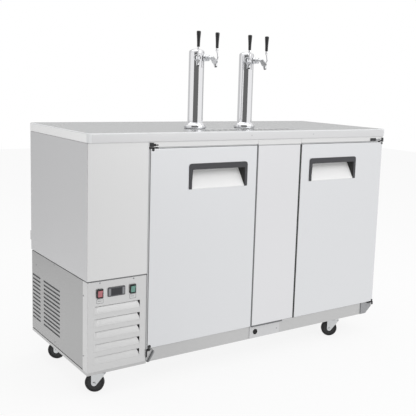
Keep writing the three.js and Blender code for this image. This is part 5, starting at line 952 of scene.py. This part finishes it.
# %% [markdown]
# Domed screws with a socket hold the sheet metal. Their socket could be left out at this size,
# but its dark dot is what tells a screw from a rivet, so one profile with a dip is spun for each.
# %% title: screw heads
TO_LEFT = Matrix.Rotation(-math.pi / 2, 4, "Y")
HEAD = [(0, 0.9), (0.9, 0.9), (1.3, 1.7), (2.2, 1.5), (3.1, 0.9), (3.5, 0.1), (3.5, -0.2)]
WORKTOP_SCREW_Z, WORKTOP_SCREW_SINK, WORKTOP_SCREW_SIZE = 1017, 1.5, 1.1
DRAIN_SCREW_SIZE, HEAD_SIDES = 0.9, 20
worktop_low = box_mm("worktop")[0]
worktop_front, worktop_left = worktop_low.y + WORKTOP_SCREW_SINK, worktop_low.x + WORKTOP_SCREW_SINK


def add_screw(bm, place, turn, size=1.0, slot=0):
    """A screw head at a place in mm, that looks along the turned Z axis."""
    shape = [(r * size, z * size) for r, z in HEAD]
    add_lathe(bm, shape, Matrix.Translation(Vector(place) * MM) @ turn, HEAD_SIDES, slot)


bm = bmesh.new()
for x in (-723.7, -579.9):
    add_screw(bm, (x, FACE, 462.3), TO_FRONT)
for y, z in ((-262, 411), (-262, 170), (38.6, 462), (31.2, 128.8), (250, 411), (250, 170)):
    add_screw(bm, (grille_low.x, y, z), TO_LEFT)
for x in (-35, 314):
    add_screw(bm, (x, worktop_front, WORKTOP_SCREW_Z), TO_FRONT, WORKTOP_SCREW_SIZE)
for y in (-235, 5, 228):
    add_screw(bm, (worktop_left, y, WORKTOP_SCREW_Z), TO_LEFT, WORKTOP_SCREW_SIZE, 1)
add_screw(bm, (165, DRAIN_PLATE_FACE, 122), TO_FRONT, DRAIN_SCREW_SIZE)
screws = add_piece("screw_heads", bm, [screw_steel, end_steel_painted_light], "cabinet")
print("screw faces:", len(screws.data.polygons))

# %% [markdown]
# The towers are polished tubes with a domed cap on a fine seam, and each stands in a bell-shaped
# flange. A cylinder with a bevel would do for the tube, but the mirror shows every change of
# curve, so the whole profile is drawn and spun in 96 steps.
# %% title: tower columns and flanges
TOWER_STEPS, DOME_STEPS, BELL_STEPS, SMOOTH_ANGLE = 96, 10, 5, 50
TOWER_WALL, CAP_HEIGHT, SEAM = 2.0, 15.0, 0.6
# Heights of the wall's end and of the dome's foot over the seam
WALL_END, DOME_FOOT = 0.5, 1.5
FLANGE_BORE_PLAY, FLANGE_NECK = 0.3, 2.0
# The flange's bell: how far in from its widest place, and how high over its foot
BELL_FOOT, BELL_SIDE = ((5, 0), (2.5, 1.2)), ((1.5, 2.5), (0, 8), (0.6, 14), (4.5, 19.5), (10, 23))


def dome(radius, foot, top):
    """A quarter ellipse from the top of a wall to the middle of its cap, without its first point."""
    angles = [math.pi / 2 * k / DOME_STEPS for k in range(1, DOME_STEPS + 1)]
    return [(radius * math.cos(a), foot + (top - foot) * math.sin(a)) for a in angles]


towers = {}
for tower in ("left_tower", "right_tower"):
    low, high = box_mm(tower + "_column")
    radius, top = (high.x - low.x) / 2, high.z
    middle = Vector(((low.x + high.x) / 2, (low.y + high.y) / 2, 0))
    towers[tower] = (middle, radius)
    stand = Matrix.Translation(middle * MM)
    cap = top - CAP_HEIGHT
    wall = [(radius - TOWER_WALL, cap - TOWER_WALL), (radius - TOWER_WALL, low.z), (radius, low.z),
            (radius, cap - 2 * SEAM), (radius - SEAM, cap - SEAM), (radius - SEAM, cap),
            (radius, cap + WALL_END)]
    bm = bmesh.new()
    add_lathe(bm, wall + dome(radius, cap + DOME_FOOT, top), stand, TOWER_STEPS)
    column = add_piece(tower + "_column_fine", bm, [chrome], "cabinet", (tower + "_column",), SMOOTH_ANGLE)
    low, high = box_mm(tower + "_flange")
    wide, foot, tall = (high.x - low.x) / 2, low.z, high.z - low.z
    bore = radius + FLANGE_BORE_PLAY
    side_line = [(wide - inwards, foot + rise) for inwards, rise in BELL_SIDE]
    side_line += [(radius + FLANGE_NECK, foot + tall)]
    bell = [(bore, foot)] + [(wide - inwards, foot + rise) for inwards, rise in BELL_FOOT]
    bell += smooth_line(side_line, BELL_STEPS) + [(bore, foot + tall)]
    bm = bmesh.new()
    add_lathe(bm, bell, stand, TOWER_STEPS)
    add_piece(tower + "_flange_fine", bm, [chrome], "cabinet", (tower + "_flange",), SMOOTH_ANGLE)
    print(tower, "radius in mm:", round(radius, 1), "faces:", len(column.data.polygons))

# %% [markdown]
# Each faucet runs out from its shank: collar, coupling nut, a waisted body with ears, and a
# spout with a black tip. The lever swings between the ears and carries a black grip. One
# sculpted body would blur the edges that make a faucet look machined. So its turned parts are
# spun, the ears and the web between them are extruded, and the spout and the stem are swept.
# %% title: faucets
TO_X = Matrix.Rotation(math.pi / 2, 4, "Y")
# Radius and distance out from the column's face, along the faucet
SHANK = ((0, -6), (11, -6), (11, 0.3), (13.8, 0.3), (15, 1.5), (15, 4), (13.4, 9.5), (11.6, 10.5),
         (12.2, 11), (13, 12), (13, 21.5), (12, 23.3), (7.6, 23.8), (6.2, 27), (6, 33), (7.4, 38), (8, 41),
         (7.4, 43.5), (0, 43.6))
# Outlines counted out from the lever's pivot and up from the faucet's axis
EAR = ((-17, 4.5), (-18, -5), (-10, -21.5), (-4, -23), (5, -23), (8.5, -19), (9, -12), (6, -6.5), (1, -4.2),
       (-7, 4.5))
WEB = ((-17, 5), (-18, -6), (-10, -21.5), (-6.6, -21.5), (-6.6, 5))
EAR_INNER, EAR_OUTER, EAR_EDGE, WEB_HALF, WEB_EDGE = 4.3, 7.5, 0.9, 7.4, 0.8
# How far the faucet's axis stands over the lever's pivot
AXIS_RISE = 14.0
# Steps round the turned and swept parts
SHANK_SIDES, SPOUT_SIDES, BOSS_SIDES, STEM_SIDES, FERRULE_SIDES, GRIP_SIDES = 40, 28, 28, 18, 32, 40
# Points out from the pivot and up from the faucet's axis, with the radius there
SPOUT = (((0, 0, -20.4), 8.2), ((0.6, 0, -25), 7.2), ((2.2, 0, -31), 6.6), ((3.4, 0, -34.6), 6.4))
SPOUT_TIP = (((3.3, 0, -34.4), 5.6), ((4, 0, -38), 5.2))
# The lever, from its pivot: boss, stem, and the ferrule and grip on the stem's end
BOSS = ((0, -4), (5, -4), (6, -3), (6, 3), (5, 4), (0, 4))
STEM, STEM_RADIUS = ((2, 0, 2), (8, 0, 7), (11.3, 0, 18), (9.6, 0, 32), (7.6, 0, 44), (7, 0, 52)), 3.3
GRIP_OUT, GRIP_RISE, GRIP_TOP = 7, 55, 66.0
FERRULE = ((0, -14), (4, -14), (4.6, -13), (5.8, -9), (6, -7), (5.4, -5.6), (5.4, -1), (4.8, 0.4), (0, 0.4))
GRIP_FOOT = [(0, 0.3), (4.6, 0.3)]
GRIP = ((5.2, 1.2), (6.1, 3), (6.4, 18), (7.2, 34), (8.4, 50), (9.0, 60), (8.0, 64.2), (4.5, 65.8),
        (0, GRIP_TOP))


def add_faucet(name, radius, reach, local):
    """A fixed faucet on a column of that radius, with its pivot that far from the column's axis."""
    bm = bmesh.new()
    add_lathe(bm, [(r, radius + out) for r, out in SHANK], local @ TO_X, SHANK_SIDES)
    ear, web = ([(reach + x, z) for x, z in outline] for outline in (EAR, WEB))
    for low, high in ((EAR_INNER, EAR_OUTER), (-EAR_OUTER, -EAR_INNER)):
        add_plate(bm, ear, low, high, EAR_EDGE, matrix=local)
    add_plate(bm, web, -WEB_HALF, WEB_HALF, WEB_EDGE, matrix=local)
    spout = local @ Matrix.Translation((reach * MM, 0, 0))
    for slot, line in enumerate((SPOUT, SPOUT_TIP)):
        add_tube(bm, [point for point, r in line], [r for point, r in line], spout, SPOUT_SIDES, slot)
    return add_piece(name + "_fine", bm, [faucet_steel, black_abs], "cabinet", (name,), 40)


def add_lever(name, here):
    """A tap lever with its boss on the pivot, which moves with the tap's own body."""
    bm = bmesh.new()
    add_lathe(bm, BOSS, here @ TO_FRONT, BOSS_SIDES)
    stem = smooth_line(STEM, 5)
    add_tube(bm, stem, [STEM_RADIUS] * len(stem), here, STEM_SIDES)
    grip_place = here @ Matrix.Translation((GRIP_OUT * MM, 0, GRIP_RISE * MM))
    add_lathe(bm, FERRULE, grip_place, FERRULE_SIDES)
    grip = [(max(r, 0.0), min(z, GRIP_TOP)) for r, z in smooth_line(GRIP, 4)]
    add_lathe(bm, GRIP_FOOT + grip, grip_place, GRIP_SIDES, 1)
    return add_piece(name + "_fine", bm, [chrome, grip_abs], name, (name,), 45)


pulls = {joint["name"]: Vector(joint["pos_m"]) for joint in frame["joints"]
         if joint["name"].endswith("_tap_pull")}
for name, pivot in pulls.items():
    middle, radius = towers["_".join(name.split("_")[:2])]
    out = pivot - middle * MM
    turned = Matrix.Rotation(math.atan2(out.y, out.x), 4, "Z")
    local = Matrix.Translation((middle.x * MM, middle.y * MM, pivot.z + AXIS_RISE * MM)) @ turned
    add_faucet(name.replace("_tap_pull", "_faucet"), radius, math.hypot(out.x, out.y) / MM, local)
    lever = add_lever(name.replace("_pull", ""), Matrix.Translation(pivot) @ turned)
    print(name, "lever faces:", len(lever.data.polygons))

# %% [markdown]
# Each caster has a rubber tread on a moulded core, between the bright legs of a fork that swivels
# under its plate. A torus could stand for the tyre, but a real one is a flat tread with small
# shoulders and a groove, so its section is spun about the axle.
# %% title: casters
# Radius and distance along the axle
TREAD = ((30, -12), (34.5, -12), (37.2, -10.5), (38.3, -8), (38.5, -1.2), (38.0, -0.7), (38.0, 0.7),
         (38.5, 1.2), (38.3, 8), (37.2, 10.5), (34.5, 12), (30, 12), (30, -12))
CORE = ((5, -14.6), (9, -14.6), (10, -13.6), (12, -11), (14, -9.5), (27, -9.5), (28.5, -11), (30.2, -11),
        (30.2, 11), (28.5, 11), (27, 9.5), (14, 9.5), (12, 11), (10, 13.6), (9, 14.6), (5, 14.6), (5, -14.6))
NUT_RADIUS, NUT_INNER, NUT_OUTER, NUT_EDGE = 6.4, 18.6, 22.0, 0.6
FORK_EDGE, MOUNT_EDGE, TREAD_SIDES, CORE_SIDES = 0.6, 0.4, 72, 48
NUT = [(NUT_RADIUS * math.cos(math.radians(a)), NUT_RADIUS * math.sin(math.radians(a)))
       for a in range(0, 360, 60)]
for joint in frame["joints"]:
    if not joint["name"].endswith("_caster_spin"):
        continue
    caster = joint["name"].replace("_spin", "")
    axle = Vector(joint["axis"]).to_track_quat("Z", "Y").to_matrix().to_4x4()
    spindle = Matrix.Translation(joint["pos_m"]) @ axle
    bm = bmesh.new()
    add_lathe(bm, TREAD, spindle, TREAD_SIDES)
    add_lathe(bm, CORE, spindle, CORE_SIDES, 1)
    wheel = caster + "_wheel"
    add_piece(wheel + "_fine", bm, [tyre_rubber, black_abs], caster + "_roll", (wheel,), 30)
    rounded_copy(caster + "_fork", FORK_EDGE, caster + "_turn")
    rounded_copy(caster + "_plate", MOUNT_EDGE, "cabinet")
    bm = bmesh.new()
    for low, high in ((NUT_INNER, NUT_OUTER), (-NUT_OUTER, -NUT_INNER)):
        add_plate(bm, NUT, low, high, NUT_EDGE, matrix=spindle @ TO_FRONT)
    add_piece(caster + "_axle_nuts", bm, [zinc], caster + "_turn")
    print(caster, "axle at", [round(v, 3) for v in joint["pos_m"]])

# %% [markdown]
# The size of the finished model is printed after each run, so that a piece that stands out past the drawing
# can be noticed.
# %% title: print the size of the finished model
low, high = [list(corner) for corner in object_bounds()]
print("visual box in metres:", [round(v, 4) for v in low], [round(v, 4) for v in high])
